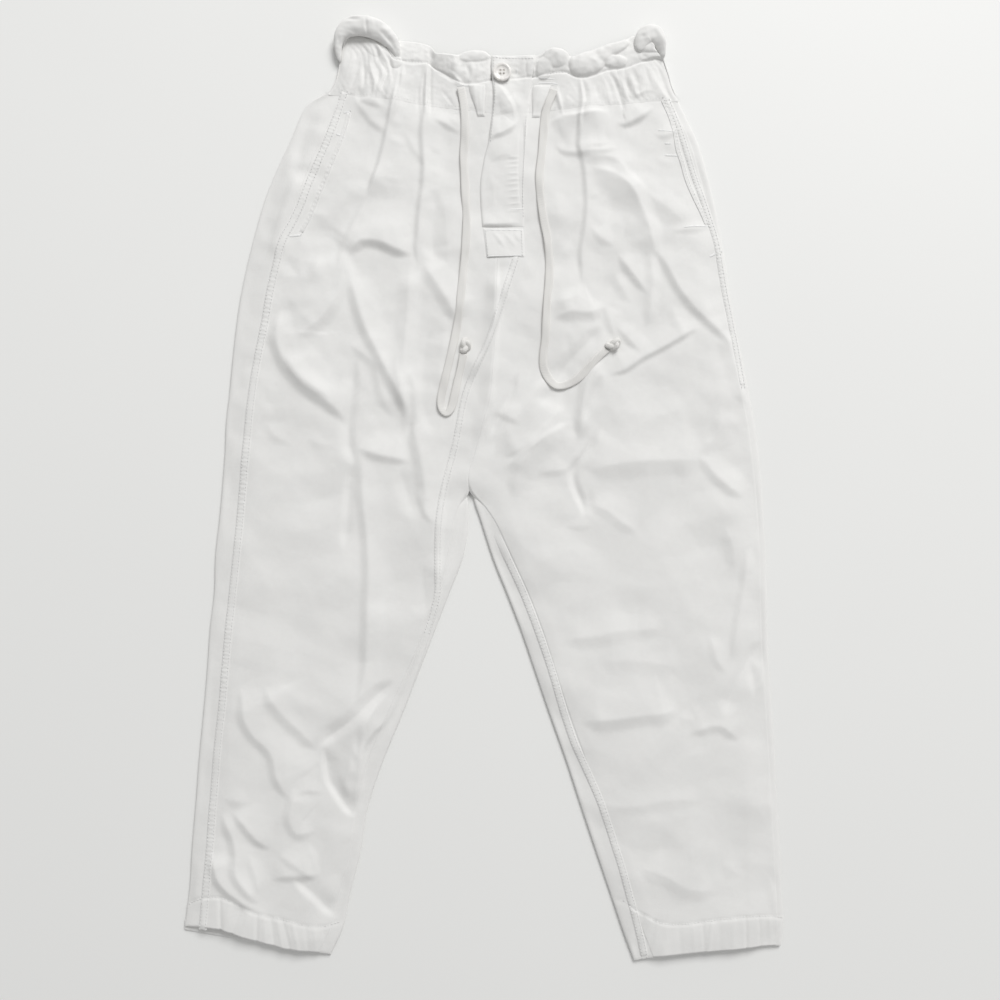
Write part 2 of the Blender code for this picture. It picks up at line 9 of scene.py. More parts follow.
import bpy
import numpy as np
from bpy.props import FloatProperty, FloatVectorProperty, PointerProperty
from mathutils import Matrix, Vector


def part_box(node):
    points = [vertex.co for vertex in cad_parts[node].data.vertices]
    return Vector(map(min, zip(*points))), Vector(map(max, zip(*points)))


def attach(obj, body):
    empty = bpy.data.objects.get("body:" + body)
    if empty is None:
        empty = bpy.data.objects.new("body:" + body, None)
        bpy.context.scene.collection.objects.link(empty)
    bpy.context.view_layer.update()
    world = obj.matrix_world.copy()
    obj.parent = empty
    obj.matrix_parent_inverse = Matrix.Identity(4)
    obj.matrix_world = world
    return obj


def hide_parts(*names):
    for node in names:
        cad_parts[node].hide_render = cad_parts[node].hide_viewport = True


bl_info = {
    "name": "Paperbag Waist Trousers",
    "version": (1, 0, 0),
    "blender": (4, 5, 0),
    "location": "View3D > Sidebar > Trousers",
    "description": "Builds the cloth, seams, cords and button of trousers laid flat",
    "category": "Object",
}

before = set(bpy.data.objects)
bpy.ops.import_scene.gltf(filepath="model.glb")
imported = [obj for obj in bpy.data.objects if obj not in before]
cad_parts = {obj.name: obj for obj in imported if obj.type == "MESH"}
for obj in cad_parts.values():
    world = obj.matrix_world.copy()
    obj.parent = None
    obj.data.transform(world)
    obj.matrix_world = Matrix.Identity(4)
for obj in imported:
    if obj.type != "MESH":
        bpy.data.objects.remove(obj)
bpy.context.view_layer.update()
MM = 0.001


def rows_of(kind, *rows):
    """The rows as named tuples of one kind."""
    return tuple(kind(*row) for row in rows)


# ---------------------------------------------------------------- sizes read from the frame
FOLD_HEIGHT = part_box("leg_back_right")[1][2] / MM       # outer face of a folded side edge
BUTTON_LOW, BUTTON_HIGH = (np.array(corner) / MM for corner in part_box("button"))


def size(name, about, default, low, high, **kind):
    """A number for the panel, with its limits."""
    return FloatProperty(name=name, description=about, default=default, min=low, max=high, **kind)


def colour(name, about, default):
    """A linear colour for the panel, each channel from 0 to 1."""
    return FloatVectorProperty(name=name, description=about, default=default, subtype="COLOR",
                               min=0, max=1)


class ClothSizes(bpy.types.PropertyGroup):
    """Sizes of the cloth and its details."""

    cell: size("Cell", "Grid step of the front panels, mm", 1.8, 0.8, 6)
    back_cell: size("Back cell", "Grid step of the back panels, mm", 2.6, 0.8, 8)
    fine_cell: size("Fine cell", "Grid step of the waist pieces, mm", 0.9, 0.4, 4)
    crest: size("Crest", "Radius that rounds every fold's crest, mm", 0.9, 0.2, 8)
    lift: size("Lift", "How far a front stands off its side folds, mm", 3.2, 0, 8)
    fold_gain: size("Fold gain", "Multiplies the leg folds' height", 1.34, 0, 3)
    waist_gain: size("Gather gain", "Multiplies the waist gathers' height", 1.0, 0, 3)
    facet_slope: size("Facet slope", "Slope of the facets between folds", 0.04, 0, 0.3)
    stitch_length: size("Stitch", "Length of one stitch, mm", 2.4, 0.5, 6)
    stitch_pitch: size("Stitch pitch", "From stitch to stitch, mm", 3.3, 0.8, 8)
    cord_width: size("Cord width", "Width of the flat drawstring, mm", 8.0, 2, 20)
    cord_thick: size("Cord thickness", "Thickness of the drawstring, mm", 2.7, 0.5, 10)


class Finishes(bpy.types.PropertyGroup):
    """Colours and the weave, in metres."""

    twill: colour("Twill", "Colour of the cloth", (0.805, 0.80, 0.783))
    cord: colour("Cord", "Colour of the drawstring", (0.74, 0.73, 0.705))
    thread: colour("Thread", "Colour of the stitches", (0.84, 0.84, 0.83))
    button: colour("Button", "Colour of the button", (0.80, 0.78, 0.75))
    floor: colour("Floor", "Colour of the floor", (0.84, 0.84, 0.825))
    weave_pitch: size("Weave pitch", "From one twill rib to the next", 0.0011, 0.0003, 0.01,
                      unit="LENGTH")
    weave_depth: size("Weave depth", "Height of the twill ribs", 0.00006, 0, 0.001, unit="LENGTH")


class StageSizes(bpy.types.PropertyGroup):
    """The camera and the light."""

    view_distance: size("View distance", "From the camera to the cloth", 1.0, 0.3, 5, unit="LENGTH")
    view_tilt: size("View tilt", "How far the camera leans to the hems", math.radians(1.5), 0, 1,
                    subtype="ANGLE", unit="ROTATION")
    lens: size("Lens", "Focal length of the camera, mm", 35.0, 10, 200)
    key_power: size("Key power", "Power of the large soft light, W", 284.0, 0, 5000)
    sky: size("Sky", "Strength of the even light from all round", 0.465, 0, 10)


# ---------------------------------------------------------------- legs: outline and seams
# One row for each station down a leg. out, in: the outer and the inner edge. side, inseam: how
# far the seams lie from those edges on the front.
Station = namedtuple("Station", "out_x out_y in_x in_y side inseam")
LEG_RIGHT = rows_of(
    Station,
    (-166, 404, 16, 380, 20, 0), (-185, 390, 15.5, 362, 32, 0), (-200, 356, 15, 335, 31, 0),
    (-214, 325, 14.5, 308, 32, 0), (-226, 295, 14, 280, 35, 0), (-236, 260, 13.5, 250, 36, 0),
    (-245, 222, 13, 216, 34, 0), (-251.5, 189, 12, 182, 30, 0), (-256, 155, 11, 148, 28, 0),
    (-259.5, 120, 8.5, 115, 27, 0), (-262, 90, 6, 87, 27, 0), (-265, 62, -2, 58, 26, 0),
    (-266, 32, -10, 28, 24, 0), (-268, 2, -16, 2, 22, 0), (-271, -35, -16, -37, 21, 14),
    (-275, -74, -21, -74, 21, 16), (-276, -112, -36, -114, 19, 10), (-280, -150, -51, -153, 18, 10),
    (-282.5, -190, -66, -192, 18, 12), (-286, -235, -84, -238, 19, 15),
    (-290, -280, -103, -284, 19, 15), (-293, -325, -118, -330, 18, 12),
    (-296.5, -370, -126, -377, 18, 10), (-298.5, -410, -137, -422, 19, 11),
    (-301, -434, -143, -452, 20, 12), (-303.5, -454, -155, -479, 20, 12),
)
LEG_LEFT = rows_of(
    Station,
    (201, 396, 16, 380, 8, 0), (211, 375, 15.5, 362, 8, 0), (221, 353, 15, 335, 8, 0),
    (229, 326, 14.5, 308, 8, 0), (236, 298, 14, 280, 8, 0), (242.5, 266, 13.5, 250, 8, 0),
    (248.5, 230, 13, 216, 8, 0), (254, 192, 12, 182, 8, 0), (260, 156, 11, 148, 8, 0),
    (267, 120, 8.5, 115, 8, 0), (273, 89, 6, 87, 8, 0), (278, 60, -2, 58, 7, 0),
    (281.5, 30, -10, 28, 7, 0), (284, 0, -16, 2, 6, 0), (286.5, -38, -3, -39, 6, 14),
    (288, -78, 10, -79, 6, 20), (289, -115, 24, -114, 6, 22), (289.5, -155, 39, -153, 6, 22),
    (291, -192, 52, -191, 6, 21), (293.5, -232, 67, -235, 6, 20), (296, -280, 84, -283, 6, 20),
    (298, -325, 99, -329, 6, 20), (300.5, -370, 114, -374, 6, 20), (302, -415, 130, -421, 6, 20),
    (303.5, -447, 140, -451, 6, 20), (301.5, -469, 152, -484, 6, 20),
)
# How far the front hem bows up from the straight line between its corners, at shares across it.
HEM_BOW_RIGHT = ((0, 4.5), (0.1, 7.0), (0.25, 8.6), (0.45, 3.5), (0.7, 0.0), (1, 1.5))
HEM_BOW_LEFT = ((0, 0.0), (0.15, 1.5), (0.5, 2.0), (0.8, 2.0), (1, 0.0))

# ---------------------------------------------------------------- folds
# A fold is a crest (height above 0) or a trough (below 0) along a line of places. left, right:
# how far it fades out on each side, walking along the line: a small number is a steep side.
Fold = namedtuple("Fold", "height left right places")


def fold_table(*rows):
    """Folds from rows of height, left, right and then the places of the line."""
    return tuple(Fold(*row[:3], row[3:]) for row in rows)


FOLDS_RIGHT = fold_table(
    # pleats and puckers below the waist
    (2.7, 14, 1.7, (-89, 412), (-91, 404), (-95, 380), (-99, 364), (-103, 345), (-108, 325),
        (-114, 308), (-120, 292)),
    (1.5, 9, 2.2, (-105, 332), (-114, 308), (-121, 292), (-128, 277), (-135, 261), (-141, 247),
        (-147, 232), (-150, 216)),
    (2.4, 9, 1.9, (-60, 410), (-61, 395), (-61, 380), (-63, 362), (-62, 345), (-61, 325),
        (-62, 306), (-64, 290), (-66, 272), (-67, 255), (-69, 240), (-66, 222)),
    (-1.8, 8, 5, (-53, 302), (-50, 285), (-52, 265), (-53, 245), (-50, 228)),
    (1.6, 12, 6, (-46, 300), (-40, 280), (-38, 250), (-36, 225)),
    (1.4, 8, 1.8, (-134, 397), (-127, 388), (-120, 379), (-113, 370), (-105, 363)),
    (2, 5, 1.7, (-131, 397), (-120, 394), (-112, 391), (-103, 387)),
    (1.3, 4, 1.7, (-116, 373), (-108, 368), (-101, 361)),
    (2, 10, 1.7, (-53, 377), (-44, 373), (-37, 369), (-29, 364), (-23, 360)),
    (1, 4, 1.8, (-36, 378), (-29, 372), (-23, 366)),
    (0.9, 5, 2, (-81, 362), (-76, 352), (-70, 342), (-63, 333), (-59, 322)),
    (0.7, 3, 2, (-100, 374), (-92, 371), (-82, 369)),
    (0.8, 3, 2, (-99, 355), (-88, 350), (-79, 347)),
    (0.6, 3, 2, (-57, 348), (-48, 343), (-41, 340)),
    (0.6, 3, 2, (-57, 323), (-49, 319), (-42, 318)),
    (0.7, 3, 1.8, (-109, 315), (-95, 313), (-80, 312)),
    (1.2, 14, 6, (-127, 314), (-134, 301), (-146, 288), (-158, 276), (-174, 265)),
    (0.7, 3, 2, (-178, 277), (-170, 276), (-161, 277)),
    (0.6, 3, 2, (-153, 258), (-146, 257), (-139, 255)),
    (-2.4, 12, 4, (-181, 388), (-186, 366), (-189, 345), (-191, 325), (-195, 308)),
    (1.6, 6, 2.2, (-192, 318), (-198, 298), (-204, 281), (-211, 262), (-215, 246), (-214, 228)),
    # shelf, hip and thigh
    (3.2, 22, 3, (-140, 233), (-131, 246), (-120, 250), (-105, 247), (-94, 242), (-84, 238),
        (-73, 236)),
    (3, 9, 3.5, (-138, 226), (-136, 208), (-131, 190), (-125, 170), (-118, 152), (-110, 137),
        (-102, 121), (-94, 105), (-86, 91), (-80, 77), (-76, 60)),
    (3.2, 4, 28, (-140, 238), (-144, 220), (-148, 200), (-156, 183), (-167, 169), (-178, 159),
        (-190, 150)),
    (1.5, 5, 3, (-171, 234), (-171, 222), (-175, 213), (-182, 204)),
    (-1.6, 4, 4, (-204, 234), (-198, 222), (-190, 212)),
    (3.6, 22, 4, (-208, 178), (-212, 155), (-210, 139), (-203, 124), (-194, 111), (-184, 101),
        (-172, 92), (-160, 84), (-149, 74), (-138, 60)),
    (1.5, 6, 2.5, (-203, 132), (-192, 114), (-180, 103), (-168, 95), (-156, 86)),
    (1.5, 14, 12, (-197, 182), (-190, 158), (-182, 134)),
    (1.3, 10, 3, (-138, 144), (-128, 136), (-117, 128), (-111, 120), (-108, 108), (-106, 97),
        (-101, 84), (-94, 68)),
    (-1.8, 3, 4, (-132, 127), (-134, 108), (-135, 92), (-137, 76), (-139, 60), (-138, 40),
        (-135, 28), (-130, 16)),
    (2, 5, 5, (-76, 224), (-77, 200), (-78, 178), (-80, 155), (-82, 135), (-83, 110)),
    (-1.8, 2.5, 2.5, (-78, 112), (-77, 92), (-76, 76), (-75, 60), (-78, 44)),
    (2.6, 14, 4, (-62, 228), (-54, 213), (-46, 201), (-39, 190), (-33, 179), (-26, 165)),
    (-1.7, 8, 8, (-49, 170), (-58, 150), (-62, 128), (-63, 105), (-62, 82), (-58, 62), (-48, 48)),
    (1.3, 8, 8, (-39, 155), (-44, 125), (-47, 96)),
    (0.9, 10, 3, (-224, 62), (-216, 51), (-208, 45), (-196, 40)),
    # bright hollow beside the crotch, and the side strip that falls away behind the pocket
    (2.6, 15, 4, (-92, 132), (-84, 98), (-72, 58), (-61, 8), (-58, -30)),
    (2.4, 4, 9, (-160, 392), (-176, 352), (-193, 310), (-206, 276), (-214, 246)),
    (0.8, 8, 3, (-182, 44), (-165, 40), (-148, 36)),
    # knee and inner thigh
    (-1.3, 3, 2.5, (-132, 22), (-136, 5), (-138, -10), (-139, -30), (-141, -50), (-143, -68)),
    (2.3, 8, 3.2, (-125, 32), (-124, 5), (-123, -20), (-120, -45), (-118, -70), (-117, -95),
        (-118, -120), (-118, -145), (-119, -170), (-120, -190), (-124, -210), (-128, -228)),
    (2.1, 12, 3, (-130, 37), (-118, 32), (-108, 29), (-98, 27), (-88, 25), (-76, 22)),
    (-1.5, 7, 5, (-87, 14), (-80, -5), (-75, -20), (-70, -38)),
    (1.9, 9, 2.2, (-69, -4), (-62, -22), (-57, -34), (-48, -43)),
    (1.9, 1.8, 16, (-40, 26), (-42, 0), (-43, -20), (-45, -45), (-47, -70), (-47, -95), (-50, -115),
        (-59, -135), (-63, -150), (-70, -172), (-80, -198), (-91, -224), (-101, -242), (-113, -254),
        (-122, -268), (-125, -285), (-129, -310), (-134, -338)),
    (-1.4, 6, 6, (-62, -82), (-62, -105), (-60, -122), (-57, -138)),
    (1.6, 2.2, 6, (-22, -6), (-27, -30), (-32, -50), (-37, -70), (-42, -92), (-44, -108)),
    # shin
    (-2.3, 3, 4, (-92, -202), (-110, -218), (-125, -233), (-140, -246), (-156, -258), (-168, -268)),
    (2, 22, 4, (-222, -208), (-215, -221), (-202, -238), (-188, -251), (-178, -261), (-168, -271)),
    (2.2, 16, 3.4, (-248, -208), (-244, -223), (-242, -241), (-233, -257), (-221, -268),
        (-213, -280), (-210, -296), (-203, -311), (-193, -322)),
    (1.5, 9, 3, (-193, -309), (-193, -324), (-196, -341), (-188, -356), (-170, -351)),
    (-1.9, 5, 2, (-164, -270), (-160, -279), (-157, -301), (-148, -316), (-138, -331),
        (-129, -340)),
    (1.2, 6, 2, (-193, -317), (-180, -312), (-160, -314)),
    (-1.3, 3, 2, (-126, -246), (-128, -266), (-125, -279)),
    (1.4, 3, 3, (-136, -277), (-135, -291), (-140, -304), (-137, -322)),
    (1.8, 2, 9, (-108, -222), (-120, -247), (-125, -271), (-126, -301), (-130, -334)),
    # ankle
    (1.3, 8, 3, (-264, -321), (-250, -323), (-236, -325)),
    (2.3, 10, 3, (-255, -333), (-244, -344), (-236, -354), (-227, -363), (-215, -371)),
    (2.3, 9, 3.2, (-266, -334), (-258, -351), (-252, -366), (-250, -381), (-250, -396),
        (-240, -411), (-226, -427)),
    (2.7, 10, 3.2, (-275, -374), (-271, -392), (-266, -404), (-257, -414), (-247, -421),
        (-237, -428), (-228, -433)),
    (1.1, 5, 2.4, (-238, -378), (-230, -399), (-225, -421)),
    (1.3, 10, 2.4, (-208, -376), (-195, -384), (-180, -394), (-170, -402)),
    (1.9, 10, 2.6, (-216, -401), (-200, -398), (-183, -398), (-164, -396)),
    (-1.7, 6, 2.2, (-194, -399), (-182, -409), (-170, -419), (-160, -430), (-148, -440)),
    (1.1, 2.4, 6, (-180, -365), (-174, -379), (-168, -396)),
    (1.2, 3, 5, (-146, -396), (-152, -414), (-157, -432)),
    (1, 4, 3, (-302, -428), (-292, -418), (-286, -408)),
)
FOLDS_LEFT = fold_table(
    # pleats and puckers below the waist
    (2.6, 12, 1.8, (107, 402), (104, 384), (101, 372), (100, 360), (99, 346), (102, 334)),
    (1.9, 11, 1.8, (99, 348), (102, 334), (105, 322), (106, 306), (107, 290), (106, 272),
        (104, 256), (101, 236), (102, 215), (101, 200)),
    (1.7, 1.5, 9, (66, 371), (76, 375), (88, 377), (100, 378), (114, 380), (131, 382)),
    (1.8, 8, 4, (101, 206), (95, 192), (84, 187), (72, 184)),
    (0.9, 3, 1.8, (107, 293), (113, 296), (120, 299)),
    (1.5, 8, 1.8, (73, 350), (82, 343), (95, 341), (110, 342), (125, 343), (137, 346)),
    (1, 4, 3, (85, 345), (92, 357), (97, 369)),
    (3.4, 10, 1.7, (137, 372), (145, 370), (154, 374), (163, 379), (175, 388)),
    (2.4, 8, 4, (94, 338), (112, 337), (126, 336), (136, 333), (143, 326), (150, 314)),
    (3.4, 5, 9, (108, 326), (125, 321), (135, 317), (143, 312), (150, 305), (156, 296), (161, 285),
        (166, 273), (171, 258), (174, 244), (177, 230)),
    (1.5, 6, 6, (149, 319), (160, 306), (172, 295), (184, 287), (196, 277), (206, 266)),
    (-1.3, 6, 6, (131, 294), (129, 280), (126, 262)),
    (1.7, 8, 2.5, (110, 264), (118, 254), (126, 248), (135, 245)),
    (-1.5, 4, 4, (101, 270), (94, 260), (88, 250), (79, 238)),
    (1.5, 8, 7, (74, 300), (76, 280), (76, 260)),
    (0.8, 4, 2, (153, 274), (149, 262), (147, 250)),
    (0.8, 4, 2, (176, 336), (186, 332), (197, 330)),
    (1.2, 3, 1.8, (192, 259), (212, 261), (234, 264)),
    (1.8, 5, 1.7, (175, 360), (184, 358), (193, 361), (202, 366)),
    # hip and thigh
    (2.4, 7, 2.6, (138, 235), (147, 223), (154, 214), (161, 205), (169, 194)),
    (1.3, 3, 3, (171, 240), (172, 225), (174, 210), (172, 195), (171, 178), (167, 160)),
    (2.4, 14, 2.8, (176, 241), (186, 228), (193, 215), (199, 203), (206, 193), (215, 182),
        (226, 171), (238, 160), (248, 150), (256, 141)),
    (1.6, 3, 5, (247, 158), (255, 130), (262, 105), (272, 79)),
    (1.5, 5, 3.5, (135, 216), (140, 205), (145, 195), (153, 184)),
    (-1.3, 4, 4, (135, 216), (130, 205), (124, 193), (117, 181)),
    (1.7, 6, 2.6, (124, 183), (129, 168), (132, 158), (136, 148)),
    (1.9, 6, 2.2, (135, 163), (144, 153), (151, 145), (162, 134)),
    (2.8, 12, 4, (70, 170), (80, 173), (93, 176), (102, 175), (109, 175), (117, 178), (124, 183)),
    (-1.9, 3.5, 3.5, (121, 159), (111, 149), (103, 140), (95, 132), (88, 124), (82, 115),
        (73, 103)),
    (-1, 3, 3, (84, 155), (86, 143), (87, 130)),
    (2.2, 9, 1.7, (128, 111), (142, 115), (153, 122), (163, 129), (175, 135), (188, 142),
        (200, 149), (212, 156), (221, 159)),
    (1.3, 5, 3, (192, 185), (196, 172), (200, 163), (205, 153)),
    (2.4, 6, 3, (123, 126), (114, 115), (105, 98), (101, 74), (98, 43)),
    (-1.6, 2.4, 2.4, (121, 110), (114, 94), (108, 79), (103, 62)),
    # crotch
    (2.8, 2, 8, (27, 222), (22, 203), (16, 184), (9, 160), (1, 138), (-9, 118), (-18, 99)),
    (2.6, 1.6, 5, (13.4, 232), (13, 216), (12, 182), (11, 148), (8.5, 115), (6, 87), (-2, 58),
        (-9, 32)),
    (1.5, 2.6, 7, (12, 26), (24, 50), (38, 72), (52, 92), (66, 110)),
    (1.2, 2, 6, (22, 14), (44, 32), (66, 48), (92, 62)),
    (-1.4, 2, 2, (6, 44), (14, 66), (26, 88), (34, 112)),
    (2, 3, 10, (82, 80), (72, 68), (65, 60), (55, 48), (45, 40), (33, 33), (20, 27)),
    (1.9, 8, 4, (78, 66), (60, 45), (50, 35), (40, 20), (33, 2), (31, -16)),
    (1.7, 6, 2.2, (10, 72), (20, 70), (28, 66), (38, 59)),
    (-1.3, 4, 4, (91, 68), (92, 56), (93, 44)),
    (-1.5, 3, 3, (70, 99), (64, 88), (58, 76)),
    (-1.7, 2.2, 2.2, (118, 60), (108, 38), (101, 27), (94, 17), (91, 8), (93, -3), (99, -18),
        (103, -33)),
    (1.4, 10, 2, (117, 60), (109, 45), (102, 33), (94, 23), (88, 14)),
    (1.5, 6, 2.6, (56, 9), (68, 12), (78, 13), (89, 17)),
    (-1.3, 3, 3, (109, -5), (107, -18), (103, -27), (99, -36)),
    # knee
    (1.3, 8, 4, (108, -20), (118, -25), (126, -28), (135, -35), (143, -42), (158, -50)),
    (2.2, 16, 7, (106, 11), (125, 17), (140, 20), (160, 22), (180, 23), (200, 23), (215, 23),
        (227, 24)),
    (1.3, 8, 3, (242, 78), (241, 60), (237, 46), (230, 38), (222, 27)),
    (1.9, 8, 3.5, (220, 30), (232, 14), (240, 5), (252, -5), (265, -15)),
    (1.1, 4, 4, (246, -44), (251, -58), (255, -72), (253, -92)),
    (1.8, 5, 2.6, (270, -66), (268, -85), (266, -105), (262, -128), (258, -150), (252, -182)),
    (0.8, 4, 1.8, (83, -44), (98, -45), (112, -44)),
    # shin and hem
    (1.3, 10, 5, (80, -161), (100, -158), (118, -156), (140, -151), (160, -150), (184, -149)),
    (1, 10, 6, (116, -183), (150, -181), (175, -184), (200, -189)),
    (2.2, 14, 5, (98, -242), (125, -241), (145, -239), (165, -236), (180, -235), (199, -230)),
    (1, 6, 3, (196, -238), (205, -240), (214, -241)),
    (2, 10, 3.5, (209, -256), (222, -250), (233, -247), (243, -248), (250, -253), (261, -262)),
    (1.1, 4, 2.6, (230, -154), (234, -170), (238, -182), (248, -194)),
    (-1.7, 5, 4, (287, -163), (276, -174), (268, -183), (262, -194), (256, -206), (250, -220),
        (245, -238)),
    (-1.5, 2.5, 2.5, (272, -181), (274, -198), (275, -218)),
    (1, 3, 3, (283, -183), (286, -198), (279, -213)),
    (0.9, 8, 4, (118, -326), (138, -329), (158, -328), (190, -322), (222, -322)),
    (1.3, 10, 5, (158, -390), (184, -398), (195, -405), (210, -412), (234, -413)),
    (0.9, 6, 4, (241, -386), (252, -393), (261, -399)),
    (1, 3, 3, (289, -400), (293, -415), (294, -428), (292, -438)),
)
# Folds of the side that lies underneath: broad, shallow and few.
FOLDS_BACK_RIGHT = fold_table(
    (1.3, 10, 6, (-60, 330), (-110, 290), (-160, 230)),
    (1.2, 7, 9, (-40, 200), (-100, 150), (-190, 120)),
    (1.4, 12, 5, (-30, 60), (-80, 40), (-150, 50), (-220, 30)),
    (1, 6, 6, (-250, -40), (-190, -80), (-110, -90)),
    (1.3, 9, 6, (-90, -170), (-150, -210), (-230, -205)),
    (1.1, 6, 8, (-270, -300), (-210, -340), (-150, -330)),
    (1, 5, 5, (-150, -400), (-210, -420), (-280, -400)),
)
FOLDS_BACK_LEFT = fold_table(
    (1.3, 10, 6, (60, 330), (110, 300), (190, 260)),
    (1.1, 7, 9, (30, 210), (110, 160), (210, 150)),
    (1.4, 12, 5, (20, 40), (90, 20), (180, 45), (250, 20)),
    (1.1, 6, 6, (60, -90), (150, -70), (250, -100)),
    (1.3, 9, 6, (100, -200), (180, -215), (270, -190)),
    (1, 6, 8, (130, -310), (200, -340), (280, -320)),
    (1, 5, 5, (160, -410), (220, -425), (285, -405)),
)

# Hem stitch lines, and the puckers that run across each hem between its stitches and its edge.
HEM_STITCH_RIGHT = (
    (-301, -429), (-290, -423), (-272, -420), (-258, -423), (-245, -429), (-228, -437),
    (-205, -442), (-185, -447), (-165, -450), (-147, -446),
)
HEM_STITCH_LEFT = (
    (142, -424), (152, -432), (165, -439), (180, -446), (200, -447), (222, -444), (245, -441),
    (268, -439), (286, -439), (302, -441),
)
Pucker = namedtuple("Pucker", "x slant height width")
PUCKERS_RIGHT = rows_of(
    Pucker,
    (-284, 2, 0.7, 3), (-266, 1, -1.4, 2), (-258, -3, 0.9, 4), (-249, -8, -1.3, 2.4),
    (-240, -7, 1.1, 3), (-229, 0, -1.4, 1.8), (-221, 2, 0.9, 3), (-213, 4, -1, 2),
    (-206, 6, 1, 2.4), (-199, 8, -1.1, 1.8), (-190, 6, 0.9, 2.6), (-178, 3, -0.8, 2),
    (-170, 2, 0.8, 2.4), (-160, 4, -0.7, 2.4),
)
PUCKERS_LEFT = rows_of(
    Pucker,
    (152, -6, 0.9, 2.4), (159, -6, -1.2, 2), (166, -7, 1, 2.2), (171, -6, -1.2, 1.8),
    (184, -4, 0.8, 4), (198, 2, -0.6, 3), (212, 3, 0.6, 3), (222, 2, -0.8, 2.2),
    (229, -3, 0.9, 2.2), (238, 2, -0.5, 3), (252, 1, 0.6, 3.5), (265, 1, -0.9, 1.8),
    (279, 2, -0.7, 1.8), (290, 3, 0.7, 2.5),
)

# Felled seams: a raised band with a row of stitches along each edge.
SIDE_SEAM_RIGHT = (
    (-144, 406), (-146, 400), (-153, 378), (-160, 358), (-169, 336), (-179, 312), (-187, 290),
    (-196, 270), (-207, 248), (-214, 222), (-220, 195), (-225, 165), (-230, 140), (-235, 112),
    (-239, 80), (-242, 50), (-245, 15), (-248, -20), (-251, -60), (-255, -100), (-259, -140),
    (-263, -185), (-266, -225), (-270, -265), (-273, -305), (-276, -345), (-278, -380),
    (-281, -415), (-284, -452),
)
SIDE_SEAM_LEFT = (
    (190, 396), (198, 376), (205, 356), (212, 334), (219, 312), (226, 292), (234, 268), (240, 246),
    (244, 222), (248, 196), (253, 170), (258, 145), (262, 122), (266, 98),
)
CROTCH_SEAM = (
    (34, 235), (24, 203), (16, 178), (9, 157), (1, 137), (-8, 118), (-16, 100), (-22, 78),
    (-26, 55), (-31, 32), (-38, 5), (-43, -18), (-46, -42), (-47, -68), (-47, -92), (-47, -112),
    (-52, -134), (-58, -153), (-70, -188), (-86, -232),
)
INSEAM_LEFT = (
    (8, -42), (25, -79), (41, -114), (56, -153), (69, -191), (81, -232), (91, -262), (99, -280),
    (108, -300), (118, -323), (126, -346), (133, -368), (140, -390), (146, -412), (152, -434),
    (158, -458), (163, -481),
)
SEAM_RAISE = 0.8        # how far a felled seam stands up
SEAM_ROW_INSET = 1.6    # from a seam's edge to its stitches
PUCKER_PITCH = 4.6      # from one pucker of a seam to the next


# ---------------------------------------------------------------- shared shape functions
def smooth_line(places, spacing):
    """Points at an even spacing on a cubic curve through the given places (Catmull and Rom's rule)."""
    p = np.array(places, float)
    padded = np.vstack((2 * p[0] - p[1], p, 2 * p[-1] - p[-2]))
    t = np.linspace(0, 1, 16, endpoint=False)[:, None]
    a, b, c, d = (padded[k:len(padded) - 3 + k, None, :] for k in range(4))
    curve = 0.5 * (2 * b + (c - a) * t + (2 * a - 5 * b + 4 * c - d) * t ** 2
                   + (3 * b - a - 3 * c + d) * t ** 3)
    curve = np.vstack((curve.reshape(-1, p.shape[1]), p[-1:]))
    run = np.concatenate(([0.0], np.cumsum(np.linalg.norm(np.diff(curve, axis=0), axis=1))))
    at = np.linspace(0.0, run[-1], max(2, int(round(run[-1] / spacing)) + 1))
    return np.column_stack([np.interp(at, run, curve[:, k]) for k in range(p.shape[1])])


def smooth_step(t):
    """3 t^2 - 2 t^3, with t held between 0 and 1."""
    t = np.clip(t, 0.0, 1.0)
    return t * t * (3.0 - 2.0 * t)


def place_on(line, x, y):
    """For each place, its signed distance from a line (left of it is above 0) and the share of the
    line's length at which it is nearest."""
    step = np.diff(line, axis=0)
    length = np.linalg.norm(step, axis=1)
    run = np.concatenate(([0.0], np.cumsum(length)))
    dx = x[:, None] - line[None, :-1, 0]
    dy = y[:, None] - line[None, :-1, 1]
    t = np.clip((dx * step[:, 0] + dy * step[:, 1]) / length ** 2, 0.0, 1.0)
    gap = np.hypot(dx - t * step[:, 0], dy - t * step[:, 1])
    nearest = gap.argmin(axis=1)
    rows = np.arange(len(x))
    cross = step[nearest, 0] * dy[rows, nearest] - step[nearest, 1] * dx[rows, nearest]
    share = (run[nearest] + t[rows, nearest] * length[nearest]) / run[-1]
    return np.sign(cross) * gap[rows, nearest], share


SLOPE_RUN = 2.3     # a fold's slope reaches this many of its widths from its crest
SLOPE_EASE = 0.13   # share of the slope over which its foot eases out
POINTED = 18.0      # mm over which a fold comes to a point at each end
WIDEST = 0.17       # widest slope of a short fold, as a share of its length over SLOPE_RUN


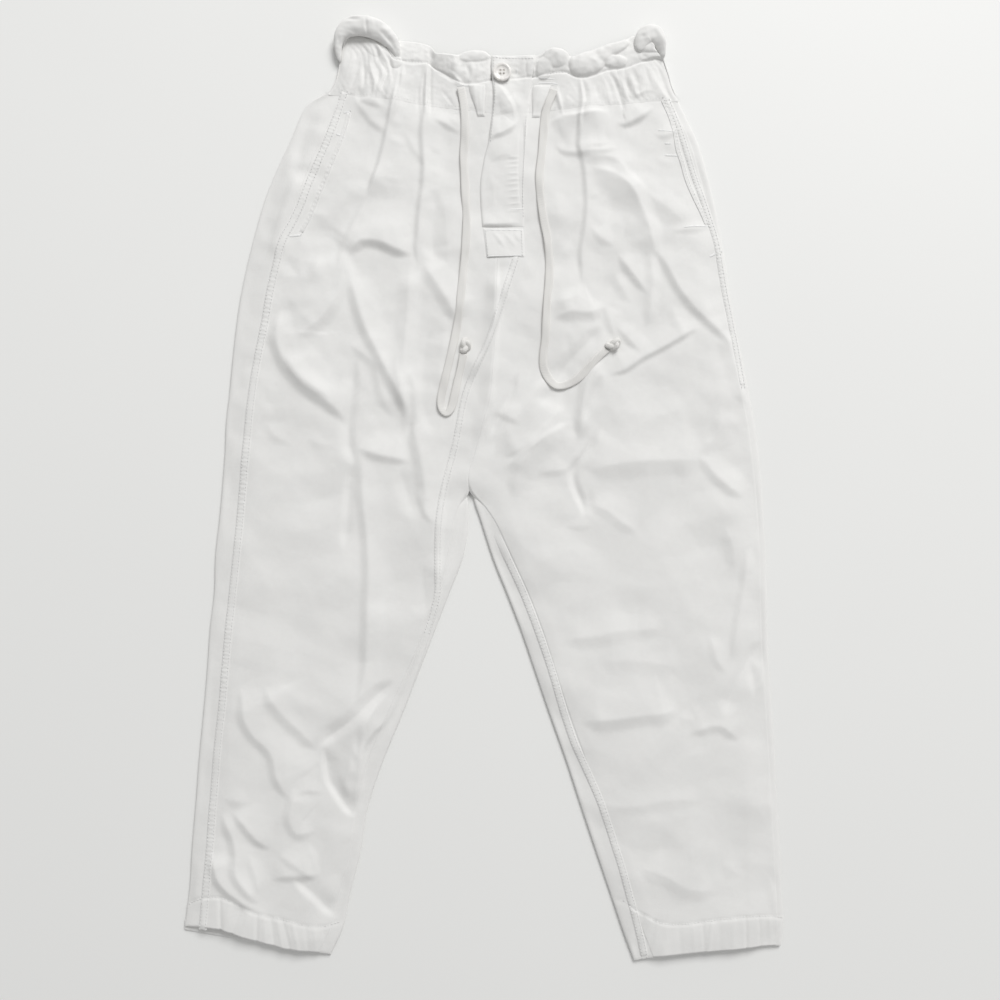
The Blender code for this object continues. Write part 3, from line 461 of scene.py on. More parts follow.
def fold_height(folds, x, y, crest, spread=1.0):
    """Sum of the folds: each falls from a rounded crest in a straight slope that eases out at its
    foot, and it narrows and sinks to nothing towards both ends of its line. WIDEST keeps
    a short fold's slopes narrow, and it is lower than a long one. spread multiplies every width."""
    shape = x.shape
    x, y = x.ravel(), y.ravel()
    total = np.zeros(len(x))
    for fold in folds:
        line = smooth_line(fold.places, 5.0)
        length = np.linalg.norm(np.diff(line, axis=0), axis=1).sum()
        widest = WIDEST * length
        point = min(0.5, max(0.22, POINTED / length))
        reach = 1.4 * SLOPE_RUN * max(fold.left, fold.right)
        low, high = line.min(axis=0) - reach, line.max(axis=0) + reach
        near = np.flatnonzero((x > low[0]) & (x < high[0]) & (y > low[1]) & (y < high[1]))
        if not len(near):
            continue
        side, share = place_on(line, x[near], y[near])
        tip = smooth_step(share / point + 0.08) * smooth_step((1 - share) / point + 0.08)
        width = np.minimum(np.where(side > 0, fold.left, fold.right), widest)
        width = width * spread * (0.4 + 0.6 * tip)
        fall = (np.sqrt(side ** 2 + crest ** 2) - crest) / (SLOPE_RUN * width)
        height = fold.height * min(1.0, length / 65.0) ** 0.6 * tip
        total[near] += height * SLOPE_EASE * np.logaddexp(0.0, (1 - fall) / SLOPE_EASE)
    return total.reshape(shape)


def facets(x, y, seed, wave, slope):
    """Flat facets that meet in creases: seven triangle waves of unlike directions, their corners
    rounded, each bent a little and fading in and out over patches of the cloth."""
    rng = np.random.default_rng(seed)
    total = np.zeros_like(x)
    for _ in range(7):
        turn, phase, shift = rng.uniform(0, 2 * math.pi, 3)
        length = wave * rng.uniform(0.6, 1.7)
        along = x * math.cos(turn) + y * math.sin(turn)
        across = y * math.cos(turn) - x * math.sin(turn)
        bend = 0.14 * length * np.sin(2 * math.pi * across / (3.1 * length) + shift)
        zigzag = np.arcsin(0.985 * np.sin(2 * math.pi * (along + bend) / length + phase))
        patch = 0.5 + 0.5 * np.sin(2 * math.pi * across / (2.3 * length) + phase) * np.cos(
            2 * math.pi * along / (3.7 * length) + shift)
        total += zigzag * smooth_step(patch) * slope * length / (2 * math.pi)
    return total


def ripple(x, y, seed, wave, depth):
    """Uneven low waves: a sum of twelve sine waves of unlike directions and lengths about wave."""
    rng = np.random.default_rng(seed)
    total = np.zeros_like(x)
    for _ in range(12):
        turn, phase = rng.uniform(0, 2 * math.pi, 2)
        k = 2 * math.pi / (wave * rng.uniform(0.6, 1.8))
        total += np.sin(k * (x * math.cos(turn) + y * math.sin(turn)) + phase)
    return total * depth / 12 ** 0.5


def soft_floor(z, level, blend=0.6):
    """z where it is above the level, easing on to the level from above where it isn't."""
    return level + blend * np.logaddexp(0.0, (z - level) / blend)


# ---------------------------------------------------------------- mesh and material helpers
def mesh_object(name, points, quads, tris, material, uv=None):
    """A smooth mesh of quads and triangles: points in mm, and a UV map "cloth" in metres."""
    quads, tris = np.asarray(quads).reshape(-1, 4), np.asarray(tris, int).reshape(-1, 3)
    corners = np.concatenate((quads.ravel(), tris.ravel())).astype(np.int32)
    starts = np.concatenate((np.arange(len(quads)) * 4, quads.size + np.arange(len(tris)) * 3))
    mesh = bpy.data.meshes.new(name)
    mesh.vertices.add(len(points))
    mesh.vertices.foreach_set("co", (points * MM).astype(np.float32).ravel())
    mesh.loops.add(len(corners))
    mesh.loops.foreach_set("vertex_index", corners)
    mesh.polygons.add(len(starts))
    mesh.polygons.foreach_set("loop_start", starts.astype(np.int32))
    mesh.update(calc_edges=True)
    uv = points[:, :2] if uv is None else uv.reshape(-1, 2)
    mesh.uv_layers.new(name="cloth").data.foreach_set(
        "uv", (uv[corners] * MM).astype(np.float32).ravel())
    mesh.validate()
    mesh.shade_smooth()
    mesh.materials.append(material)
    made = bpy.data.objects.new(f"{name}_made", mesh)
    bpy.context.scene.collection.objects.link(made)
    return made


def grid_quads(rows, columns, closed=False, first=0):
    """Corner numbers of a grid's quads, counted from first. closed joins the last column to the
    first."""
    index = first + np.arange(rows * columns).reshape(rows, columns)
    if closed:
        index = np.hstack((index, index[:, :1]))
    return np.stack((index[:-1, :-1], index[:-1, 1:], index[1:, 1:], index[1:, :-1]),
                    axis=-1).reshape(-1, 4)


def grid_object(name, points):
    """A quad grid of twill, rows by columns, as a mesh."""
    rows, columns = points.shape[:2]
    return mesh_object(name, points.reshape(-1, 3), grid_quads(rows, columns), (), twill())


def grid_step(field, usual=1.0):
    return getattr(bpy.context.scene.trousers_cloth, field) * usual


def tube_rings(path, half_width, half_height, around=24, roundness=1.0, roll=0.0, relief=None):
    """Rings of a tube carried along a path: each ring is an ellipse, squarer where roundness is
    below 1, turned by roll radians about the path, its radius scaled by relief over ring and angle."""
    path = np.asarray(path, float)
    tangent = np.gradient(path, axis=0)
    tangent /= np.linalg.norm(tangent, axis=1, keepdims=True)
    side = np.cross(tangent, (0.0, 0.0, 1.0))
    side /= np.linalg.norm(side, axis=1, keepdims=True)
    up = np.cross(side, tangent)
    roll = np.broadcast_to(np.asarray(roll, float), len(path))[:, None]
    side, up = side * np.cos(roll) + up * np.sin(roll), up * np.cos(roll) - side * np.sin(roll)
    angle = -np.arange(around) * 2 * math.pi / around
    c = np.sign(np.cos(angle)) * np.abs(np.cos(angle)) ** roundness
    h = np.sign(np.sin(angle)) * np.abs(np.sin(angle)) ** roundness
    scale = 1.0 if relief is None else relief(np.linspace(0, 1, len(path))[:, None], angle[None])
    half_width = np.broadcast_to(np.asarray(half_width, float), len(path))[:, None] * scale
    half_height = np.broadcast_to(np.asarray(half_height, float), len(path))[:, None] * scale
    return (path[:, None, :] + side[:, None, :] * (half_width * c)[..., None]
            + up[:, None, :] * (half_height * h)[..., None])


def tube_object(name, rings, material):
    """A tube from its rings, both ends closed by a fan to the middle of the end ring."""
    count, around = rings.shape[:2]
    ends = np.array((rings[0].mean(axis=0), rings[-1].mean(axis=0)))
    points = np.vstack((rings.reshape(-1, 3), ends))
    ring = np.arange(around)
    following = (ring + 1) % around
    last = (count - 1) * around
    tris = np.vstack((np.column_stack((ring * 0 + count * around, following, ring)),
                      np.column_stack((ring * 0 + count * around + 1, last + ring, last + following))))
    run = np.concatenate(([0.0], np.cumsum(np.linalg.norm(np.diff(rings.mean(axis=1), axis=0), axis=1))))
    girth = np.linalg.norm(rings[:, 0] - rings[:, 1], axis=1).mean() * around
    u, v = np.meshgrid(np.arange(around) / around * girth, run)
    uv = np.vstack((np.dstack((u, v)).reshape(-1, 2), ((0, 0), (0, run[-1]))))
    return mesh_object(name, points, grid_quads(count, around, closed=True), tris, material, uv)


def add_piece(made, nodes=()):
    """The piece rides on the trousers' one body and stands for its CAD nodes."""
    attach(made, "root")
    if nodes:
        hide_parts(*nodes)
    return made


def add_wall(made, thickness):
    """Gives an open sheet its thickness, inwards."""
    wall = made.modifiers.new("wall", "SOLIDIFY")
    wall.thickness = thickness * MM
    wall.offset = -1.0
    return made


def add_node(tree, kind, values=None, links=None, **fields):
    """A shader node with its own fields, then its input values, then its incoming links set."""
    node = tree.nodes.new("ShaderNode" + kind)
    for field, value in fields.items():
        setattr(node, field, value)
    for socket, value in (values or {}).items():
        node.inputs[socket].default_value = value
    for socket, source in (links or {}).items():
        tree.links.new(source, node.inputs[socket])
    return node


def math_node(tree, operation, *operands):
    """The result of one operation on numbers or sockets."""
    node = add_node(tree, "Math", operation=operation)
    for socket, value in zip(node.inputs, operands):
        if isinstance(value, (int, float)):
            socket.default_value = value
        else:
            tree.links.new(value, socket)
    return node.outputs[0]


def noise(tree, place, scale, detail=2.0, roughness=0.5, distortion=0.0):
    """A cloudy noise from 0 to 1 at the place."""
    values = {"Scale": scale, "Detail": detail, "Roughness": roughness, "Distortion": distortion}
    return add_node(tree, "TexNoise", values, {"Vector": place}).outputs[0]


def bump(tree, height, depth, below=None):
    """The normal of a bump this many metres deep, laid over another bump where one is given."""
    links = {"Height": height} if below is None else {"Height": height, "Normal": below}
    return add_node(tree, "Bump", {"Strength": 1.0, "Distance": depth}, links).outputs["Normal"]


def new_material(name, values):
    """A material with these values on its shader, its node tree and the shader's inputs."""
    made = bpy.data.materials.new(name)
    made.use_nodes = True
    inputs = made.node_tree.nodes["Principled BSDF"].inputs
    for socket, value in values.items():
        inputs[socket].default_value = value
    return made, made.node_tree, inputs


def clouded_material(name, values, tint, gains, stops, scale, **cloud):
    """A plain finish whose colour drifts with a noise between tint times each of the two gains. Also
    returns its tree, its shader's inputs and the noise."""
    made, tree, shader = new_material(name, values)
    drift = noise(tree, add_node(tree, "TexCoord").outputs["Object"], scale, **cloud)
    ramp = add_node(tree, "ValToRGB", links={0: drift})
    for stop, at, gain in zip(ramp.color_ramp.elements, stops, gains):
        stop.position = at
        stop.color = (*(min(1.0, c * gain) for c in tint), 1.0)
    tree.links.new(ramp.outputs[0], shader["Base Color"])
    return made, tree, shader, drift


def weave_group():
    """Shader group: diagonal twill ribs broken up by yarn noise, and a faint crumple.

    Height is 0.5 + 0.5 sin of the turns, (steepness x + y) / pitch + noise. Tone is a multiplier
    close to 1 for the cloth's colour.
    """
    group = bpy.data.node_groups.new("twill_weave", "ShaderNodeTree")
    group.interface.new_socket("Vector", in_out="INPUT", socket_type="NodeSocketVector")
    for name, default in (("Pitch", 0.0011), ("Steepness", 1.2)):
        made = group.interface.new_socket(name, in_out="INPUT", socket_type="NodeSocketFloat")
        made.default_value = default
    for name in ("Height", "Crumple", "Tone"):
        group.interface.new_socket(name, in_out="OUTPUT", socket_type="NodeSocketFloat")
    start, end = group.nodes.new("NodeGroupInput").outputs, group.nodes.new("NodeGroupOutput").inputs
    parts = add_node(group, "SeparateXYZ", links={0: start["Vector"]}).outputs
    across = math_node(group, "MULTIPLY", parts["X"], start["Steepness"])
    diagonal = math_node(group, "ADD", across, parts["Y"])
    turns = math_node(group, "DIVIDE", diagonal, start["Pitch"])
    shifted = math_node(group, "ADD", turns, noise(group, start["Vector"], 240.0))
    rib = math_node(group, "SINE", math_node(group, "MULTIPLY", shifted, 2 * math.pi))
    group.links.new(math_node(group, "MULTIPLY_ADD", rib, 0.5, 0.5), end["Height"])
    group.links.new(noise(group, start["Vector"], 70.0, 4.0, 0.55), end["Crumple"])
    patch = noise(group, start["Vector"], 14.0, 3.0)
    group.links.new(math_node(group, "MULTIPLY_ADD", patch, 0.05, 0.965), end["Tone"])
    return group


def cloth_material(name, tint, pitch, depth, steepness, crumple_depth, sheen=0.25):
    """Woven cotton, made at its first use: the weave group shades the colour and drives two bumps,
    ribs over crumples."""
    if name in bpy.data.materials:
        return bpy.data.materials[name]
    made, tree, shader = new_material(name, {"Roughness": 0.92, "Specular IOR Level": 0.25,
                                             "Sheen Weight": sheen, "Sheen Roughness": 0.6})
    place = add_node(tree, "UVMap", uv_map="cloth").outputs[0]
    weave = add_node(tree, "Group", {"Pitch": pitch, "Steepness": steepness}, {"Vector": place},
                     node_tree=bpy.data.node_groups.get("twill_weave") or weave_group()).outputs
    mixed = add_node(tree, "Mix", {"Factor": 1.0, "A": (*tint, 1.0)}, {"B": weave["Tone"]},
                     data_type="RGBA", blend_type="MULTIPLY")
    tree.links.new(mixed.outputs["Result"], shader["Base Color"])
    soft = bump(tree, weave["Crumple"], crumple_depth)
    tree.links.new(bump(tree, weave["Height"], depth, soft), shader["Normal"])
    return made


def twill():
    """The trousers' cloth."""
    finish = bpy.context.scene.trousers_finishes
    return cloth_material("white_twill", finish.twill, finish.weave_pitch, finish.weave_depth, 1.2,
                          0.00035)


def cord_weave():
    """The flat cord: a coarser weave with more fuzz."""
    tint = bpy.context.scene.trousers_finishes.cord
    return cloth_material("flat_cord", tint, 0.0018, 0.00012, 0.9, 0.0005, sheen=0.3)


def thread():
    """Sewing thread: a fine, steep twist."""
    tint = bpy.context.scene.trousers_finishes.thread
    return cloth_material("cotton_thread", tint, 0.0006, 0.0001, 0.5, 0.0002)


# ---------------------------------------------------------------- leg surfaces
def leg_rows(stations, spacing):
    """The stations read at an even spacing down the leg."""
    return smooth_line([tuple(row) for row in stations], spacing * math.sqrt(2))


def below_crotch(y):
    """0 above the crotch, 1 below it: how far the inner edge has become a fold of its own."""
    return smooth_step((4.0 - y) / 30.0)


EDGE_ROUND = 4.5    # radius of a folded side
EDGE_CLIMB = 34.0   # over how far the cloth climbs from a leg's edge
EDGE_CALM = 8.0     # over how far the folds grow from a leg's edge
LEG_FLOOR = 2.3     # how low the folds of a leg come
WAIST_CREST = 0.5   # crest radius of the waist's folds
WAIST_SPREAD = 0.75     # multiplies their widths
BROAD_FACETS, FINE_FACETS = 74.0, 23.0


def shared_lumps(x, y):
    """Folds, gathers and facets at each place, the same for every piece of the front."""
    sizes = bpy.context.scene.trousers_cloth
    lumps = fold_height(FOLDS_RIGHT + FOLDS_LEFT, x, y, sizes.crest) * sizes.fold_gain
    lumps += fold_height(FOLDS_WAIST, x, y, WAIST_CREST, WAIST_SPREAD) * sizes.waist_gain
    upper = smooth_step((y + 60.0) / 160.0)
    lumps += facets(x, y, 12, BROAD_FACETS, sizes.facet_slope) + facets(
        x, y, 17, FINE_FACETS, sizes.facet_slope) * (0.15 + 0.35 * upper)
    return lumps + ripple(x, y, 3, 46.0, 0.2)


def top_height(side, x, y, from_outer, from_inner, below):
    """Height of a leg's upper face: it climbs from its edges, and carries the folds."""
    sizes = bpy.context.scene.trousers_cloth
    hem = HEM_STITCH_RIGHT if side < 0 else HEM_STITCH_LEFT
    puckers = PUCKERS_RIGHT if side < 0 else PUCKERS_LEFT
    at_inner = 1.0 + (smooth_step(from_inner / EDGE_CLIMB) - 1.0) * below
    z = FOLD_HEIGHT + sizes.lift * smooth_step(from_outer / EDGE_CLIMB) * at_inner
    calm_inside = 1.0 + (smooth_step(from_inner / EDGE_CALM) - 1.0) * below
    calm = smooth_step((from_outer - 1.0) / EDGE_CALM) * calm_inside
    lumps = shared_lumps(x, y)
    z = z + lumps * calm + hem_relief(hem, puckers, x, y)
    return soft_floor(z, LEG_FLOOR)


HEM_BAND = 0.35     # how much the turned hem thickens the cloth
HEM_TROUGH = 0.45   # how deep the stitches pull it in
HEM_PUCKER = 0.55   # multiplies the puckers' heights
HEM_REACH = 46.0    # how far below the stitches the puckers end


def hem_relief(stitch_line, puckers, x, y):
    """A hem's relief: a trough along its stitches, a thicker band below them, and its puckers."""
    line = smooth_line(stitch_line, 4.0)
    if line[0, 0] > line[-1, 0]:
        line = line[::-1]
    level = np.interp(x, line[:, 0], line[:, 1])
    below = level - y
    relief = HEM_BAND * smooth_step((below + 0.5) / 2.5)
    relief = relief - HEM_TROUGH * np.exp(-(below / 1.3) ** 2)
    fade = smooth_step((below + 3.0) / 6.0) * smooth_step((HEM_REACH - below) / 10.0)
    for pucker in puckers:
        offset = x - (pucker.x + pucker.slant * (below / 28.0 - 0.5))
        relief += HEM_PUCKER * pucker.height * np.exp(-(offset / pucker.width) ** 2) * fade
    return np.where(below > -6.0, relief, 0.0)


def leg_plan(rows, along):
    """Plan positions at distances along each row from its outer edge."""
    outer, inner = rows[:, 0:2], rows[:, 2:4]
    span = inner - outer
    direction = span / np.linalg.norm(span, axis=1)[:, None]
    return outer[:, None, :] + along[..., None] * direction[:, None, :]


def bow_hem(plan, share, bow, rows, upper=1.0):
    """Raises the hem's upper edge by its bow, easing in over the last 60 mm of the leg."""
    from_hem = np.hypot(*(rows[:, 0:2] - rows[-1, 0:2]).T)[:, None]
    plan = plan.copy()
    raised = np.interp(np.clip(share, 0, 1), *zip(*bow))
    plan[..., 1] += raised * smooth_step(1 - from_hem / 60.0) * upper
    return plan


TURN_STEPS = 7
# How a hem turns under: how far each row goes up the leg, and how far it sinks, mm on a front and
# as a share of the way to the middle on a back.
HEM_TURN = ((0.0, -0.35), (-0.6, -0.9), (-0.4, -1.5), (0.8, -1.9), (4.0, -2.0), (9.0, -2.1))
BACK_TURN = ((-0.5, 0.25), (-0.7, 0.5), (-0.2, 0.72), (1.5, 0.8), (7.0, 0.8))
HEM_INSIDE = 1.5    # the lowest that a front's turned hem comes


def turn_hem(points, turn, level):
    """Adds the hem's turned rows: the last row moved up the leg, each at the height that level gives
    for its own height and for the turn's second number."""
    turned = []
    for forward, part in turn:
        edge = points[-1].copy()
        edge[:, 1] += forward
        edge[:, 2] = level(edge[:, 2], part)
        turned.append(edge)
    return np.vstack((points, np.array(turned)))


def front_panel(side, stations, bow, name):
    """A front leg panel on a grid: rows down the leg, columns from the side seam to the inner edge.

    Both long edges tuck under, and the hem turns round its edge and back up inside.
    """
    cell = grid_step("cell")
    rows = leg_rows(stations, cell)
    wrap = below_crotch(rows[:, 3])
    width = np.linalg.norm(rows[:, 2:4] - rows[:, 0:2], axis=1)
    start, finish = rows[:, 4], width - rows[:, 5] * wrap
    count = int(np.max(finish - start) / cell)
    t = np.linspace(0, 1, count + 1)
    along = start[:, None] + (finish - start)[:, None] * t
    tuck = np.array((2.6, 0.7))
    along = np.hstack((start[:, None] - tuck, along, finish[:, None] + tuck[::-1]))
    sink = np.concatenate(((1.6, 0.7), np.zeros(count + 1), (0.7, 1.6)))
    plan = leg_plan(rows, along)
    plan = bow_hem(plan, along / width[:, None], bow, rows)
    x, y = plan[..., 0], plan[..., 1]
    z = top_height(side, x, y, along, width[:, None] - along, wrap[:, None])
    z = z - sink
    z[:, 0] = np.maximum(z[:, 0], 2.0)
    points = np.dstack((x, y, z))
    tucked = points[:1] + np.array((0.0, 3.0, -0.9))
    points = np.vstack((tucked, points))
    points = turn_hem(points, HEM_TURN, lambda z, down: np.maximum(z + down, HEM_INSIDE))
    if side > 0:
        points = points[:, ::-1]
    return add_piece(grid_object(name, points[::-1]), (name,))


def back_panel(side, stations, bow, name):
    """A back leg panel: from its side seam on top, round the outer fold, along the surface, and
    below the crotch round the inner fold up to the inseam."""
    cell = grid_step("back_cell")
    rows = leg_rows(stations, cell)
    wrap = below_crotch(rows[:, 3])[:, None]
    width = np.linalg.norm(rows[:, 2:4] - rows[:, 0:2], axis=1)[:, None]
    side_seam, inseam = rows[:, 4:5] + 1.5, rows[:, 5:6] * wrap + 1.5
    r = EDGE_ROUND
    top_out = np.linspace(1, 0, int(40 / cell) // 2 + 2)[None, :-1]
    top_out = r + (side_seam - r) * top_out
    angle = np.linspace(math.pi / 2, -math.pi / 2, 2 * TURN_STEPS + 1)[None]
    turn_out = r * (1 - np.cos(angle)) + 0 * width
    count = int(width.max() / cell)
    floor = r + (width - 2 * r) * np.linspace(0, 1, count + 1)[None, 1:-1]
    flat_end = (1 - wrap) * r * np.linspace(1, 0.1, angle.size)
    turn_in = width - r * (1 - np.cos(angle)) * wrap - flat_end
    t = np.linspace(0, 1, 6)[None, 1:]
    top_in = width - (r + np.maximum(inseam - r, 0) * t) * wrap - (1 - wrap) * 0.4 * (1 - 0.9 * t)
    along = np.hstack((top_out, turn_out, floor, turn_in, top_in))
    lift = np.hstack((np.ones(top_out.shape[1]), np.sin(angle[0]), -np.ones(floor.shape[1]),
                      np.sin(angle[0][::-1]), np.ones(5)))
    inner_part = np.arange(along.shape[1]) >= top_out.shape[1] + turn_out.shape[1] + floor.shape[1]
    lift = np.where(inner_part, -1 + (lift + 1) * wrap, lift + 0 * wrap)
    plan = leg_plan(rows, along)
    plan = bow_hem(plan, along / width, bow, rows, smooth_step(lift * 0.5 + 0.5))
    x, y = plan[..., 0], plan[..., 1]
    under_folds = FOLDS_BACK_RIGHT if side < 0 else FOLDS_BACK_LEFT
    calm = smooth_step(np.minimum(along, width - along) / 20.0)
    under = fold_height(under_folds, x, y, 2.0) * calm + np.abs(ripple(x, y, 21, 40.0, 0.14)) * calm
    upper = top_height(side, x, y, along, width - along, wrap) - 0.35
    middle = FOLD_HEIGHT / 2
    z = np.where(lift > 0, middle + (upper - middle) * np.maximum(lift, 0),
                 middle + (middle - under) * np.minimum(lift, 0))
    points = np.dstack((x, y, z))
    points = turn_hem(points, BACK_TURN, lambda z, inside: z + (middle - z) * inside * 0.75)
    if side < 0:
        points = points[:, ::-1]
    return add_piece(grid_object(name, points[::-1]), (name,))


def leg_top_at(side, x, y):
    """Height of a leg's upper face at single places, from the same rule as its panels."""
    stations = LEG_RIGHT if side < 0 else LEG_LEFT
    rows = leg_rows(stations, 4.0)
    x, y = np.atleast_1d(np.asarray(x, float)), np.atleast_1d(np.asarray(y, float))
    outer, _ = place_on(rows[:, 0:2], x, y)
    inner, _ = place_on(rows[:, 2:4], x, y)
    return top_height(side, x, y, np.abs(outer), np.abs(inner), below_crotch(y))


def cloth_top(x, y):
    """Height of the upper cloth anywhere on the legs, both sides of the centre seam."""
    x, y = np.atleast_1d(np.asarray(x, float)), np.atleast_1d(np.asarray(y, float))
    centre = np.array([(row.in_x, row.in_y) for row in LEG_RIGHT[:14]][::-1], float)
    middle = np.interp(y, centre[:, 1], centre[:, 0])
    return np.where(x < middle, leg_top_at(-1, x, y), leg_top_at(1, x, y))


# ---------------------------------------------------------------- waist
# x: place across the waist. foot, top: lower and upper edge of the gathered casing. edge, level:
# free edge of the frill above it, and how high that edge stands.
Waist = namedtuple("Waist", "x foot top edge level")
WAIST_RIGHT = rows_of(
    Waist,
    (-161, 403.3, 405, 405.6, 4), (-157, 402.8, 409.6, 411, 4), (-153.5, 402.5, 416, 418, 4),
    (-151.3, 402.3, 424, 427, 4.5), (-149.3, 402.1, 439, 443, 5), (-146.5, 401.8, 450.5, 453.5, 6),
    (-143, 401.4, 458, 461, 7), (-138.5, 400.8, 464, 467, 8), (-134, 400.2, 466.5, 469.5, 8),
    (-124, 398.7, 467.5, 470.5, 8), (-112, 397.1, 464.5, 468.5, 8), (-104, 396.1, 456, 462, 7.5),
    (-95, 395, 440, 458, 5), (-89, 394.2, 437, 459.5, 4.4), (-74, 392.2, 435.5, 458, 4.2),
    (-60, 390.3, 434, 455, 4.6), (-55, 389.6, 431, 452, 5.5), (-50.5, 389, 427, 444, 11),
    (-46, 388.4, 425, 442.5, 12.8), (-38, 387.5, 421, 442, 13), (-29, 386.2, 415.5, 441.5, 12),
    (-24.5, 385.7, 413, 443.5, 8.6), (-19, 384.9, 412, 446.5, 8), (-9, 383.7, 412, 447.5, 8),
    (1, 382.3, 413.5, 446, 7.6), (7, 381.6, 415, 442, 7.2), (15.8, 380.3, 416, 441, 7),
)
WAIST_LEFT = rows_of(
    Waist,
    (16.2, 380.3, 416, 441, 7), (50, 383.3, 419, 442, 7.4), (56, 383.8, 420, 442, 8),
    (61, 384.2, 421, 443.5, 9), (66, 384.6, 422, 447, 10), (75, 385.4, 424, 448, 10.5),
    (84, 386.2, 424, 446, 9.5), (89, 386.6, 422, 441.5, 8), (95, 387.2, 419, 441.5, 8),
    (102, 387.9, 417.8, 444.5, 8), (114, 388.8, 420.4, 448.5, 8), (127, 390, 425.5, 453, 8),
    (139, 391, 427, 456, 8), (148.5, 391.9, 429, 460.5, 8), (156, 392.6, 432, 463, 8),
    (168, 393.6, 436, 458, 8), (178, 394.5, 439, 449, 8), (185, 395.1, 438, 443.5, 6),
    (188, 395.4, 431, 435, 4.6), (191, 395.6, 422, 425, 4), (194, 395.9, 411.5, 413.5, 4),
    (197, 396.1, 404, 405.5, 4), (201, 396.4, 398.2, 398.8, 4),
)
WAIST_BACK = rows_of(
    Waist,
    (-160, 403.8, 405.5, 407, 0), (-152, 402.6, 419, 424, 0), (-148, 402.2, 428, 436, 0),
    (-92, 394.9, 436, 458, 0), (-56, 390.3, 429, 449, 0), (-45, 389, 425, 440, 0),
    (4, 382.2, 414, 440, 0), (16, 380.7, 414, 439, 0), (54, 383.9, 417, 440, 0),
    (90, 387, 418, 439, 0), (149, 392.3, 428, 456, 0), (184, 395.3, 434, 440, 0),
    (190, 395.6, 421, 425, 0), (199, 396.7, 399.6, 401, 0),
)
# Rolled and bunched parts of the frill: middle, turn in degrees, half length, half width, height
# and how much higher the upper side stands than the lower one.
Mound = namedtuple("Mound", "x y turn length width height lean")
MOUNDS = rows_of(
    Mound,
    (106.5, 433.5, 14, 19, 12.8, 4.6, 0.15), (131, 447.5, 24, 20, 7, 3.4, 0.1),
    (118, 440.5, 20, 16, 9.5, 3.9, 0.1), (135, 434.8, -4, 12.5, 6.6, 2.8, 0.2),
    (62, 427.5, 82, 11, 8.2, 2.3, 0.1), (73.5, 438.2, 4, 12.5, 9.6, 2, 0.3),
    (-9.3, 441, 4, 16.5, 6.4, 2.2, 0.2), (-90.6, 434.2, 30, 6.4, 5.8, 1.5, 0.2),
    (168.5, 441.8, 12, 9.5, 5.4, 1.3, -0.3), (170, 452, 0, 13, 9, 4.5, 0.3),
    (48, 429, 88, 11, 4.4, 1.2, 0), (-116, 452, -50, 13, 7, 1.2, 0.3),
)
SWELL = 1.0         # how far the casing stands over the legs
FRILL_FOOT_LEVEL = 7.2
TOP_TROUGH = 0.8    # how deep the casing's top stitches pull in
CRINKLE_PITCH = 6.6
CRINKLE_DEPTH = 0.62
WAIST_REST = 1.3    # how low the sides of the waist come
WAIST_FLOOR = 3.2   # how low its folds come
RIM_ROWS = 4        # rows over which a waist panel's rim falls
CENTRE_X = 16       # the centre line at the waist
